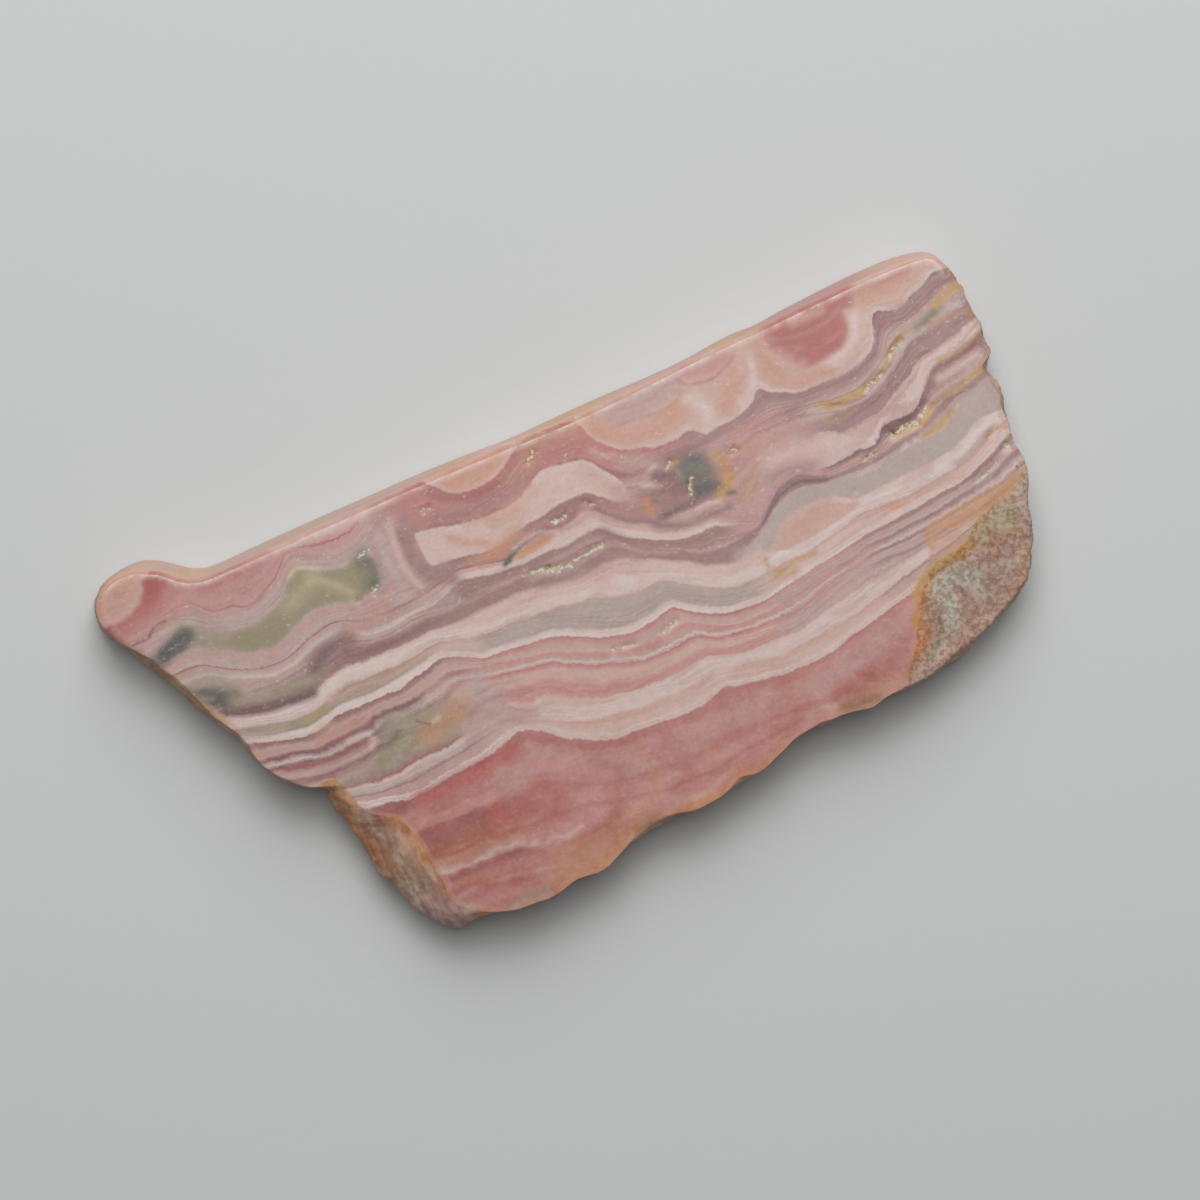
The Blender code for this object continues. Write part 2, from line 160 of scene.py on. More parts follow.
# Growth lines: where one layer of the vein gives way to the next, each with its height in the
# growth log, which is its own height where the slice is cut through the middle.
GROWTH_LINES = (
    (-22.0, ((-40, -22), (40, -22))),
    (-18.5, (  # pale line near the lower edge
        (-26, -16.2), (-20, -16.2), (-18, -16.1), (-12, -17.2), (-7, -17.9), (4, -18.6), (12, -17.8),
        (20, -16.8), (38, -13),
    )),
    (-16.0, (  # scalloped line in the crimson zone
        (-26, -13.9), (-20, -14.2), (-18, -14.4), (-16, -14.45), (-13, -14.8), (-12.3, -15.1),
        (-10.5, -15.25), (-9, -15.45), (-7, -15.2), (-5, -15.75), (-1, -16.5), (3, -16.6), (12, -15.2),
        (16, -15), (32, -12), (38, -10.5),
    )),
    (-13.3, (  # foot of the clear pink layer
        (-26, -10.3), (-20, -10.4), (-18, -10.6), (-16, -10.7), (-15, -10.9), (-13, -10.8),
        (-11.5, -10.9), (-10.8, -10.5), (-10, -10.4), (-5, -12.4), (-3.5, -13), (0, -13.3),
        (4.5, -13.4), (5.5, -13), (11, -13.4), (14, -13.5), (18, -12.9), (19.5, -12.7), (20.5, -12.3),
        (30, -10), (38, -8),
    )),
    (-10.1, (  # foot of the lower white line
        (-26, -6.2), (-24, -6.5), (-23.4, -6.85), (-20, -7.5), (-18, -7.5), (-16, -7.15), (-13, -7),
        (-12, -6.85), (-11, -6.7), (-10.1, -6.1), (-9, -6.45), (-8, -6.9), (-6.5, -8.3), (-5.5, -8.75),
        (-4.5, -9.3), (-3, -9.8), (-1, -10), (4.2, -10.4), (6, -9.8), (6.5, -9.6), (7.2, -9.85),
        (12, -10.8), (16, -10.55), (22, -9.1), (23.5, -8.85), (24.5, -8.5), (38, -4.5),
    )),
    (-9.65, (  # top of the lower white line
        (-26, -5.7), (-24, -6), (-23, -6.3), (-21, -6.75), (-19, -7.1), (-15, -6.55), (-13, -6.4),
        (-11, -5.9), (-10, -5.65), (-9, -6), (-8, -6.35), (-7, -7), (-6, -7.8), (-4, -8.85),
        (-2.5, -9.35), (3, -9.85), (5, -9.7), (6.5, -9.1), (8, -9.55), (12, -10.3), (14, -10.3),
        (18, -9.65), (20, -9.1), (24, -8.25), (38, -4.1),
    )),
    (-8.5, (  # thin line that parts peach from pale pink
        (-26, -5.2), (-24, -5.55), (-22, -6.1), (-18, -6.2), (-16, -5.95), (-14, -5.7), (-11, -5.15),
        (-10, -5.3), (-8, -6), (-6, -7), (-4, -7.75), (0, -8.5), (4, -8.5), (6.5, -8), (8, -8.4),
        (12, -9.2), (18, -8.75), (30, -6), (38, -3.8),
    )),
    (-7.3, (  # toothed dark line on the left, top of the pale layer elsewhere
        (-26, -4.4), (-23, -4.8), (-22, -5.05), (-20.5, -5.15), (-18, -4.8), (-16, -4.9), (-11, -4.2),
        (-10, -3.95), (-9, -4.5), (-8, -4.95), (-7, -5.2), (-6, -5.6), (-4, -6.6), (-2, -7.1),
        (3, -7.4), (5, -7.2), (6.5, -7), (8, -7.7), (10, -8.1), (14, -8.1), (16, -7.7), (20, -7),
        (22, -6.8), (24, -6.3), (26, -6), (30, -5.6), (38, -3.4),
    )),
    (-6.6, (
        (-30, -2), (-28, -2.3), (-27, -2.7), (-25, -3.15), (-24, -3.1), (-22, -3.1), (-21.3, -2.9),
        (-20.5, -2.6), (-15, -3.2), (-13, -3.2), (-10, -2.95), (-8, -3.4), (-6, -3.75), (-5, -4.55),
        (-4, -5.2), (-2, -6.05), (-1, -6.3), (0, -6.6), (1, -6.65), (2, -6.8), (4, -6.8), (6.6, -6.5),
        (7.2, -6.85), (9, -7.5), (14, -7.6), (17, -6.75), (18, -6.25), (20, -5.75), (21, -5.5),
        (23, -5.45), (25, -5.7), (26, -5.6), (31, -5), (38, -3),
    )),
    (-4.85, (
        (-31, -0.7), (-29, -0.8), (-25, -1.95), (-20, -1.6), (-16, -1.6), (-14, -1.3), (-13, -0.75),
        (-12.5, -0.65), (-12, -0.8), (-10, -1.35), (-8, -1.7), (-7.5, -1.9), (-5, -2.3), (-4, -2.95),
        (0, -4.75), (1, -4.9), (2, -5.25), (4, -5.2), (6, -4.9), (6.5, -5), (8, -5.95), (12, -6.55),
        (14, -6.4), (16, -6), (17, -5.6), (21, -5), (22, -4.8), (24, -4.7), (25, -4.75), (29, -4.4),
        (31, -4.1), (32, -4.15), (34, -3.8), (35, -3.3), (38, -2.4),
    )),
    (-4.1, (
        (-31, 0), (-29.3, 0), (-27, -0.45), (-25, -1), (-23, -0.9), (-21, -0.95), (-20, -0.5),
        (-18, -0.4), (-16, -0.5), (-15, -0.3), (-14, 0.2), (-13, 0.35), (-12, 0), (-6, -1.35),
        (-5, -1.5), (-1, -3.4), (0, -3.75), (2, -4.2), (4, -4.1), (5, -3.85), (6, -3.8), (6.6, -4.2),
        (8.5, -5.3), (10, -5.65), (13, -5.7), (17, -4.95), (20, -4.45), (22, -4.1), (24, -4),
        (26, -3.85), (28, -3.8), (30, -3.5), (32, -3.2), (34, -2.6), (35, -2.2), (38, -1.4),
    )),
    (-2.6, (  # dark line under the middle white line
        (-31, 1.9), (-29.6, 1.5), (-27, 0.6), (-25, 0.2), (-24, 0.3), (-23, 0.7), (-22, 0.85),
        (-21, 0.7), (-17, 0.65), (-13, 1.65), (-12, 1.3), (-10, 0.2), (-9, 0.1), (-7, -0.05),
        (-6, -0.25), (-4, -0.5), (-3, -1), (-2, -1.5), (-1, -2.1), (1, -2.75), (3, -2.8), (5.5, -2.3),
        (6, -2.6), (6.5, -3.1), (8, -3.95), (9, -4.5), (12, -4.9), (15.8, -4.2), (20, -3.6), (22, -3.2),
        (25, -3.15), (31, -2.45), (32, -2.2), (34, -1.4), (35.6, -0.7), (38, -0.2),
    )),
    (-1.7, (  # top of the middle white line
        (-31, 2.9), (-28, 1.6), (-25, 1), (-22, 1.6), (-20, 1.5), (-18, 1.5), (-14, 2.2), (-13.3, 2.4),
        (-11, 1.4), (-10, 0.8), (-9, 0.75), (-7, 0.6), (-5, 0.25), (-4, 0.2), (0, -1.7), (2, -2.05),
        (4, -1.85), (5, -1.6), (5.5, -1.5), (7, -2.6), (9, -3.7), (10, -4), (12, -4.15), (14, -3.95),
        (16, -3.35), (18, -3.2), (22, -2.75), (23, -2.75), (24, -2.6), (25, -2.35), (28, -2.2),
        (32, -1.55), (35, -0.1), (38, 0.6),
    )),
    (1.2, (  # foot of the upper white line
        (-31.5, 3.4), (-29, 2.8), (-26, 2), (-24, 2), (-22, 2.5), (-21.5, 2.8), (-21, 2.9), (-19, 2.7),
        (-18, 2.75), (-17, 2.6), (-15, 2.65), (-13, 3), (-12.5, 2.95), (-12, 2.7), (-10, 2.1),
        (-8, 1.9), (-7, 2), (-3, 1.6), (-2, 1.35), (-1, 1.25), (0, 1.2), (1, 0.7), (3, 0.15), (4, 0.15),
        (5, 0.3), (6, 0), (7, -0.8), (9, -2.2), (11, -2.8), (14, -2.75), (15, -2.6), (17, -2.6),
        (21, -1.85), (22.5, -1.4), (23, -1.5), (25, -1.75), (27, -1.75), (31, -1.2), (32, -0.9),
        (33, -0.4), (35, 0.4), (38, 1),
    )),
    (2.0, (  # top of the upper white line
        (-31.5, 4.6), (-30.5, 4.4), (-30, 4), (-27, 3.05), (-24, 2.9), (-23, 3.2), (-22, 3.75),
        (-20, 3.95), (-19, 3.7), (-17, 3.7), (-15, 3.6), (-14, 3.65), (-13, 3.75), (-10, 2.85),
        (-8, 2.85), (-4, 2.6), (-2, 2.2), (0, 2), (3, 1.8), (7, 0.1), (8, -0.4), (9, -1.1), (11, -1.9),
        (13, -2), (15, -1.8), (17, -1.85), (21, -1), (22, -0.6), (24, -0.85), (30, -0.6), (32, -0.1),
        (34, 1.1), (38, 1.8),
    )),
    (3.1, (  # foot of the dark mauve layer
        (-31.5, 4.9), (-30.4, 4.6), (-30, 4.2), (-28, 3.4), (-24, 3), (-22, 3.9), (-20, 4.1),
        (-19, 3.9), (-14, 3.85), (-13, 4), (-11, 3.8), (-9, 3.9), (-7, 3.9), (-5, 4), (-4, 3.9),
        (-1, 3.1), (2, 3.2), (3.5, 3), (6, 1.9), (7, 1.3), (8, 0.9), (9, 0.1), (10, -0.4), (11, -0.85),
        (12, -0.75), (14, 0.3), (15.5, 1.4), (16, 1.8), (18, 2.5), (20, 2.1), (21, 1.95), (22, 1.95),
        (24, 1.6), (25, 1.65), (26, 1.9), (28, 2.25), (29, 2.35), (32, 3.4), (33, 3.9), (38, 4.8),
    )),
    (4.5, (  # crusted line in the dark mauve layer
        (-31.5, 5.3), (-29, 5.3), (-27.5, 5.45), (-26, 5.25), (-23, 5.6), (-22, 5.4), (-21, 5.6),
        (-20, 6), (-19, 6), (-18, 5.4), (-16, 5.15), (-15, 5.25), (-14, 5.5), (-13, 5.5), (-11, 5.1),
        (-7, 5.2), (-5, 5.1), (-1, 4.4), (2, 4.7), (2.7, 4.6), (3.3, 4.1), (5, 3), (6, 2.6), (10, 0.7),
        (12, 0.6), (13, 0.8), (14, 0.9), (15, 1.3), (15.6, 1.9), (17, 3), (19, 3.5), (20, 2.8),
        (21, 2.55), (26, 2.7), (27, 3.1), (29, 3.3), (30, 3.8), (31, 4.5), (34, 4.9), (35, 5.2),
        (38, 5.9),
    )),
    (5.9, (  # foot of the thin white line
        (-34, 8.4), (-32, 8.25), (-31, 8.2), (-30, 7.7), (-29, 7), (-26, 5.8), (-24, 5.95), (-22, 6.7),
        (-20, 7), (-19, 6.75), (-18, 5.8), (-16, 5.45), (-15, 5.55), (-14, 5.8), (-12, 5.75), (-11, 6),
        (-9, 6.9), (-8, 6.6), (-7, 6.3), (-4, 5.9), (-2, 6.1), (-1.5, 6.2), (-1, 5.95), (-0.3, 5.8),
        (0.5, 6), (1, 6.05), (2.6, 6.2), (3.5, 5.2), (5, 4.1), (7, 3.1), (8, 2.6), (10, 2.3),
        (11, 2.55), (12, 2.1), (13, 1.75), (14, 1.2), (14.8, 1), (16, 3), (17, 4.2), (18, 4.35),
        (19, 4.35), (19.6, 4), (20, 3.4), (20.6, 3.1), (23, 3.05), (24, 3.25), (25.2, 3), (26, 3.2),
        (26.3, 4), (26.7, 4.25), (28, 4.35), (29, 4.2), (29.6, 4.3), (31.6, 6.2), (32, 6.7), (32.5, 7),
        (34.5, 7.3), (36.5, 8), (38, 8.4),
    )),
    (6.6, (  # top of the thin white line
        (-34, 8.9), (-32, 8.8), (-31, 8.75), (-29, 7.6), (-26, 6.45), (-24, 6.5), (-22, 7.25),
        (-20, 7.5), (-19, 7.3), (-18.3, 6.6), (-17.5, 6.2), (-16, 6.1), (-14, 6.3), (-11, 6.5),
        (-9, 7.35), (-7, 6.95), (-5, 6.3), (-3, 6.35), (-2, 6.6), (0, 6.6), (3, 6.6), (3.5, 5.9),
        (4, 5.4), (8, 3), (10, 2.65), (11, 2.95), (14, 1.6), (14.8, 1.25), (15.3, 2.1), (16, 3.4),
        (17, 4.7), (19, 5), (20, 5.3), (21.7, 6), (23, 5.4), (24, 5.15), (27, 5.3), (30, 6.8),
        (31, 7.5), (32, 7.95), (33, 8.05), (35, 8.5), (36, 9), (38, 9.3),
    )),
    (7.7, (
        (-35, 9.3), (-33, 9.15), (-32, 9.2), (-31, 9.1), (-30.4, 8.85), (-30, 8.45), (-29, 7.8),
        (-27.4, 7.05), (-27, 6.85), (-25, 6.6), (-23, 7.1), (-22, 7.55), (-20, 7.9), (-19, 7.75),
        (-18, 7.2), (-17, 6.9), (-12, 6.9), (-11, 7.2), (-10, 7.45), (-9, 7.7), (-8, 7.5), (-7, 7.3),
        (-5, 6.75), (-4.5, 7.05), (-4, 7.35), (-2, 7.85), (1, 7.6), (1.6, 8), (2.3, 8.2), (3, 7.7),
        (3.6, 6.9), (5, 5.6), (7, 5), (8, 5), (14, 5.2), (16, 5.9), (20, 6.5), (24, 5.9), (27, 6.2),
        (30, 7.8), (31, 8.5), (32, 9), (33, 9.2), (34, 9.2), (36, 9.5), (38, 9.7),
    )),
    (9.0, (  # foot of the olive lens, of the pale block and of the rusty line
        (-36, 10.1), (-33, 10.2), (-31, 10.3), (-29.3, 9.6), (-28.8, 9.5), (-28, 9.1), (-27, 8.5),
        (-25, 8.05), (-24, 8.3), (-23, 8.8), (-21, 9.35), (-19, 9.1), (-18, 8.8), (-17, 8.7),
        (-15, 9.1), (-13, 8.9), (-11, 8.9), (-10, 8.65), (-8, 8.4), (-7, 8.1), (-5, 8), (-2, 8.75),
        (-1, 8.8), (-0.2, 9), (3, 9), (3.5, 8.5), (4, 8.15), (5.2, 7.3), (8, 6.9), (10, 7.4), (13, 7.9),
        (20, 8), (22, 8), (23, 7.8), (24, 7.45), (26, 7.3), (27, 7.7), (28, 8.05), (29, 8.6),
        (29.6, 9.2), (31.3, 10.3), (33.5, 10.6), (35, 11.5), (36, 11.85), (38, 12),
    )),
    (12.0, (  # top of the olive lens and of the pale block
        (-36, 12.3), (-34, 12.3), (-31, 12.6), (-30.3, 12.4), (-29.8, 11.8), (-28, 10.8), (-26, 10.35),
        (-23, 11.1), (-21.5, 12.6), (-20.9, 12.9), (-17.3, 11.5), (-16.5, 11.8), (-15.5, 12),
        (-14.8, 12), (-14, 12.4), (-13, 12.6), (-12, 12.2), (-10, 11.55), (-9, 11.45), (-8, 11.1),
        (-6, 10.65), (-3, 10.7), (-1, 11.4), (-0.3, 11.9), (0.4, 12.15), (3.4, 11.7), (4.1, 11.2),
        (5.1, 9.9), (6.3, 9), (7, 8.8), (8, 8.9), (9, 9.2), (11, 9.3), (13, 8.9), (15, 9), (17, 9.2),
        (18.5, 9.9), (19.3, 10), (21, 9.2), (22, 8.9), (26, 8.9), (27, 9.2), (28, 9.5), (28.8, 10),
        (29.4, 11), (30, 12.3), (31, 11.9), (32, 11.8), (33, 12.3), (34, 12.6), (35, 13.1), (36, 13),
        (38, 12.9),
    )),
    (14.8, (  # toothed crimson line on the left, edge of the shells on the right
        (-38, 13.9), (-31.2, 14), (-30.7, 14.3), (-30.4, 14), (-30, 14.15), (-29.4, 13.9),
        (-28.5, 12.7), (-27.7, 12.5), (-27, 12.6), (-26, 12.1), (-25.6, 11.8), (-25, 12), (-24, 12.3),
        (-23.3, 12.7), (-22.5, 13.05), (-21.5, 14.1), (-21.1, 14.65), (-20.3, 14.65), (-18.3, 14),
        (-17.5, 14.1), (-17, 13.9), (-15.5, 14), (-14.5, 14.7), (-13.5, 16.2), (-9.2, 16.2),
        (-8.7, 15.1), (-8, 14.5), (-6.6, 13.2), (-5, 12.95), (-3, 13.2), (-1.5, 14.1), (-1, 14.7),
        (0, 15.1), (4, 15), (4.5, 14.4), (5.6, 12.2), (7, 11), (8, 10.6), (8.7, 10.5), (9.3, 10.15),
        (11, 10), (11.8, 10.15), (12.3, 10.35), (12.8, 10.1), (13.2, 9.65), (13.8, 9.45), (15, 9.6),
        (16, 9.6), (18, 10.3), (18.9, 11.3), (19.2, 10.85), (19.6, 10.4), (20.9, 9.8), (21.3, 9.5),
        (24, 9.3), (26, 9.3), (28, 9.9), (28.7, 10.5), (29.1, 11.3), (29.5, 12.8), (29.9, 12.95),
        (30.3, 12.7), (31.6, 12.25), (32.4, 12.35), (32.9, 12.8), (34.2, 13.2), (34.8, 13.5),
        (35.3, 13.8), (36.2, 13.7), (38, 13.9),
    )),
    (20.0, ((-40, 20), (40, 20))),
)

# The growth log: the stone's colour at each height, where the vein is cut on the left, in the
# middle, right of the middle and on the right.
GROWTH_LOG = (
    (-22.0, "tan", "tan", "tan", "tan"),
    (-18.7, "rose", "tan", "tan", "tan"),
    (-18.5, "flesh", "tan", "tan", "tan"),
    (-18.1, "rose", "tan", "tan", "tan"),
    (-17.0, "rose", "tan", "pink", "tan"),
    (-16.15, "crimson", "pink", "pink", "pink"),
    (-15.95, "flesh", "pink", "pink", "pink"),
    (-15.3, "tan", "pink", "pink", "pink"),
    (-14.95, "brick", "rose", "pink", "pink"),
    (-14.7, "tan", "pink", "pink", "pink"),
    (-14.2, "brick", "pink", "pink", "pink"),
    (-13.6, "crimson", "rose", "pink", "pink"),
    (-13.2, "crimson", "pink", "pink", "pink"),
    (-12.9, "pink", "heather", "heather", "heather"),
    (-12.3, "pink", "pink", "heather", "heather"),
    (-12.0, "rose", "pink", "heather", "heather"),
    (-11.7, "pink", "heather", "heather", "heather"),
    (-11.1, "rose", "pink", "pink", "pink"),
    (-10.7, "crimson", "rose", "pink", "pink"),
    (-10.2, "rose_dark", "rose", "rose", "rose"),
    (-10.08, "white", "pale", "pale", "pale"),
    (-9.78, "white", "pale", "pale", "pale"),
    (-9.6, "flesh", "blush", "blush", "peach"),
    (-8.85, "flesh", "peach", "peach", "flesh"),
    (-8.6, "mauve", "peach", "peach", "mauve"),
    (-8.35, "mauve_pale", "pale", "pale", "pale"),
    (-7.6, "pale", "pale", "pale", "pale"),
    (-7.36, "rose_dark", "pale", "pale", "blush"),
    (-7.22, "mauve", "blush", "blush", "flesh"),
    (-7.08, "olive_grey", "blush", "flesh", "mauve_pale"),
    (-6.9, "mauve_pale", "pink", "mauve_pale", "mauve_pale"),
    (-6.6, "mauve_dark", "pink", "heather", "mauve"),
    (-6.35, "mauve_pale", "pink", "mauve_pale", "mauve_pale"),
    (-5.9, "flesh", "peach", "flesh", "flesh"),
    (-5.3, "flesh", "peach", "flesh", "mauve_pale"),
    (-5.05, "rose_dark", "pink", "pink", "mauve"),
    (-4.8, "mauve_dark", "rose", "heather", "mauve"),
    (-4.62, "pale", "pale", "blush", "pale"),
    (-4.42, "mauve_pale", "flesh", "flesh", "mauve_pale"),
    (-4.18, "mauve_dark", "pink", "heather", "mauve"),
    (-4.0, "rose_dark", "pink", "pink", "mauve"),
    (-3.8, "flesh", "peach", "flesh", "mauve_pale"),
    (-3.1, "flesh", "flesh", "flesh", "flesh"),
    (-2.8, "mauve", "pink", "heather", "mauve"),
    (-2.5, "rose_dark", "rose", "pink", "mauve"),
    (-2.36, "white", "white", "white", "pale"),
    (-1.85, "white", "pale", "pale", "pale"),
    (-1.5, "olive_grey", "grey", "blush", "blush"),
    (0.8, "olive_grey", "grey", "blush", "peach"),
    (1.1, "flesh", "flesh", "flesh", "flesh"),
    (1.35, "pale", "pale", "pale", "pale"),
    (1.95, "white", "white", "white", "white"),
    (2.3, "pale", "blush", "blush", "blush"),
    (2.85, "pale", "blush", "blush", "blush"),
    (3.05, "blush", "flesh", "flesh", "mauve_pale"),
    (3.3, "mauve", "russet", "mauve", "mauve"),
    (3.75, "mauve", "russet", "mauve_dark", "mauve"),
    (3.95, "mauve", "russet", "mauve", "flesh"),
    (4.3, "flesh", "mauve", "mauve", "tan"),
    (4.45, "mauve", "flesh", "mauve", "flesh"),
    (4.7, "mauve_pale", "flesh", "heather", "flesh"),
    (5.1, "flesh", "mauve", "heather", "mauve"),
    (5.75, "mauve_pale", "russet", "heather", "mauve_dark"),
    (5.95, "pale", "pale", "heather", "pale"),
    (6.5, "mauve_pale", "pale", "heather", "blush"),
    (6.75, "flesh", "peach", "heather", "mauve"),
    (7.3, "flesh", "flesh", "heather", "mauve"),
    (7.55, "rose_dark", "rose_dark", "heather", "mauve"),
    (7.8, "mauve_pale", "mauve", "heather", "mauve"),
    (8.0, "mauve_pale", "rose", "heather", "mauve"),
    (8.4, "flesh", "mauve", "heather", "mauve_pale"),
    (8.9, "flesh", "rose_dark", "heather", "mauve_pale"),
    (9.1, "mauve_pale", "mauve", "heather", "mauve_pale"),
    (10.6, "mauve_pale", "rose", "heather", "flesh"),
    (11.85, "flesh", "rose_dark", "mauve", "mauve"),
    (12.05, "mauve_pale", "rose_dark", "mauve", "mauve_dark"),
    (12.3, "mauve_pale", "rose", "mauve", "mauve"),
    (13.6, "flesh", "rose", "mauve", "mauve"),
    (14.5, "heather", "crimson", "mauve", "mauve_dark"),
    (14.68, "crimson", "crimson", "mauve", "mauve_dark"),
    (14.85, "pink", "peach", "pale", "pale"),
    (15.6, "pink", "pink", "blush", "blush"),
    (18.0, "rose", "rose", "peach", "peach"),
    (20.0, "rose", "rose", "peach", "peach"),
)
LOG_SPLITS = (-9.9, -4.7, 0.0, 5.0, 9.0)  # heights where the log is cut into colour ramps of their own
LOG_BLENDS = ((-12.0, 2.4), (12.6, 1.6), (21.6, 1.6))  # (x, half width) between the four cuts

RIND = (
    (38, -2.5), (36, -3.2), (34.7, -4.3), (33.2, -4.8), (31.8, -5.2), (30.4, -5.9), (29.2, -6.8),
    (28.2, -7.2), (27.1, -7.3), (26.1, -7.5), (25.2, -8.1), (24.5, -8.8), (23.9, -9.5),
    (23.4, -10.3), (22.9, -11.2), (22.4, -12.1), (21.9, -13), (21.3, -13.8), (20.6, -14.7),
    (20, -16.5), (30, -18), (40, -12),
)
LEFT_SLOPE = (
    (-25, -3.6), (-24.5, -4.6), (-24.2, -5.6), (-23.9, -6.5), (-23.3, -7.4), (-22.4, -8),
    (-21.4, -8.6), (-21, -9.6), (-20.8, -10.8), (-20.6, -12), (-20.4, -13.4), (-20.2, -14.6),
    (-20.3, -15.6), (-20.1, -16.7), (-19.2, -17.5), (-18, -18.3), (-19, -21), (-26, -20),
    (-28, -8), (-27, -4),
)

# Crystal bodies that stand in the banding: (edge colour, core colour, edge width, outline).
BODIES = (
    ("skin_tan", "skin_grey", 2.0, RIND),
    ("skin_rust", "skin_tan", 1.2, LEFT_SLOPE),
    ("olive_grey", "olive", 0.35, (  # the olive lens
        (-29.3, 10.3), (-28.6, 10.8), (-27.5, 10.55), (-26, 10.35), (-25, 10.45), (-23, 11.1),
        (-22.4, 11.6), (-21, 12.9), (-19.3, 12.2), (-17.3, 11.5), (-16.4, 11.8), (-15.4, 12),
        (-15, 11.6), (-15, 9.6), (-15.3, 9.1), (-16.2, 8.85), (-17.2, 8.6), (-19, 9.15), (-20, 9.3),
        (-21, 9.4), (-23, 8.7), (-24, 8.25), (-25, 8), (-26, 8.2), (-27, 8.4), (-28.6, 9.4),
        (-29.2, 9.7),
    )),
    ("pale", "blush", 0.5, (  # the pale block
        (-10.95, 11.65), (-10, 11.5), (-9, 11.4), (-8.2, 11.1), (-5, 10.55), (-3, 10.65), (-1, 11.4),
        (-0.3, 11.9), (0.4, 12.15), (2.5, 11.85), (3.4, 11.65), (4.1, 11.2), (4.6, 10.5), (5.6, 9.1),
        (5.9, 8.3), (5.8, 7.6), (5.2, 7.25), (4, 8.15), (3.5, 8.55), (3, 9), (0.5, 9.1), (-1, 8.8),
        (-2, 8.75), (-3, 8.55), (-4, 8.2), (-5, 8), (-7, 8.1), (-8, 8.4), (-10, 8.65), (-10.8, 8.8),
        (-11, 10.8),
    )),
    ("blush", "peach_deep", 0.5, (  # the half lens on the sawn edge
        (-8.6, 15.4), (-8, 14.5), (-7, 13.45), (-6.3, 13.1), (-4.5, 12.95), (-2.8, 13.4), (-0.9, 14.75),
        (-0.6, 15.6), (-2, 17), (-7, 17),
    )),
    ("pale", "peach", 0.55, (  # the shells
        (4.5, 15.2), (5.1, 12.9), (5.6, 12.2), (7, 11), (8, 10.6), (8.7, 10.5), (9.3, 10.15), (11, 10),
        (11.8, 10.15), (12.3, 10.35), (12.8, 10.1), (13.2, 9.65), (13.8, 9.45), (15, 9.6), (16, 9.6),
        (18, 10.3), (18.9, 11.4), (19.2, 10.85), (19.6, 10.4), (20.9, 9.8), (21.3, 9.5), (24, 9.3),
        (26, 9.3), (28, 9.9), (28.7, 10.5), (29.1, 11.3), (29.5, 12.8), (29.9, 12.95), (30.3, 12.7),
        (31.6, 12.25), (32.4, 12.35), (32.9, 12.8), (34.2, 13.2), (34.8, 13.5), (35.3, 13.8),
        (36.2, 13.7), (38, 13.9), (38, 18), (20, 18), (5, 18),
    )),
    ("rose", "garnet", 1.1, (  # the crimson eye
        (21, 15.6), (20.9, 14.2), (21.1, 13.3), (21.8, 12.6), (22.4, 11.9), (22.9, 11.2), (23.6, 10.95),
        (26, 11.2), (26.8, 11.7), (27.3, 12.4), (27.5, 13.1), (27.6, 13.9), (28.5, 14), (28.9, 14.6),
        (28.9, 15.8), (25, 16.2),
    )),
    ("rose", "garnet", 1.3, (  # the crimson crystal on the knob
        (-39, 13.1), (-37, 13.3), (-35.5, 13.3), (-32.6, 13.8), (-31.4, 14.3), (-30.5, 15.1),
        (-30.1, 16), (-30.2, 17.2), (-30.8, 19), (-39, 19.5),
    )),
    ("peach", "peach_deep", 1.2, (  # the lens on it
        (-38, 14.6), (-37, 14.8), (-36.3, 14.95), (-35.6, 14.8), (-34.3, 15.05), (-33.8, 15.35),
        (-33.3, 15.5), (-33.05, 16), (-32.7, 16.3), (-32.55, 16.9), (-32.2, 17.3), (-31.8, 17.45),
        (-31.4, 19), (-33, 20.5), (-37, 20.5), (-39.5, 17),
    )),
    ("grey", "grey", 0.3, (  # the clear grey layer on the right
        (13.8, -0.6), (14.4, 0.2), (15, 0.9), (16.3, 1.8), (18.2, 2.4), (19.2, 2.3), (20, 2),
        (21, 1.85), (22, 1.85), (23, 1.4), (25, 1.3), (26, 1.6), (29.5, 1.95), (30.5, 1.9), (31.3, 2.1),
        (32, 2.6), (33.6, 3.6), (35.2, 4.15), (37, 4.4), (38, 3.2), (37.6, 2), (36.3, 1.6), (34, 1.6),
        (33, 1.2), (32, 0.6), (30, 0.1), (26, -0.05), (24, -0.15), (22.3, -0.2), (21.5, 0.3),
        (20.5, 0.8), (17.5, 0.9), (16.3, 0.4), (15.5, -0.3), (14.8, -1), (14, -1),
    )),
    ("peach", "peach_deep", 2.4, (  # the peach lens under it
        (14.2, -1.2), (15.2, -0.7), (15.6, 0), (16.3, 0.6), (17.5, 0.9), (19, 0.85), (21.4, -0.1),
        (22.6, -0.6), (19.6, -1.35), (15.6, -1.6),
    )),
)

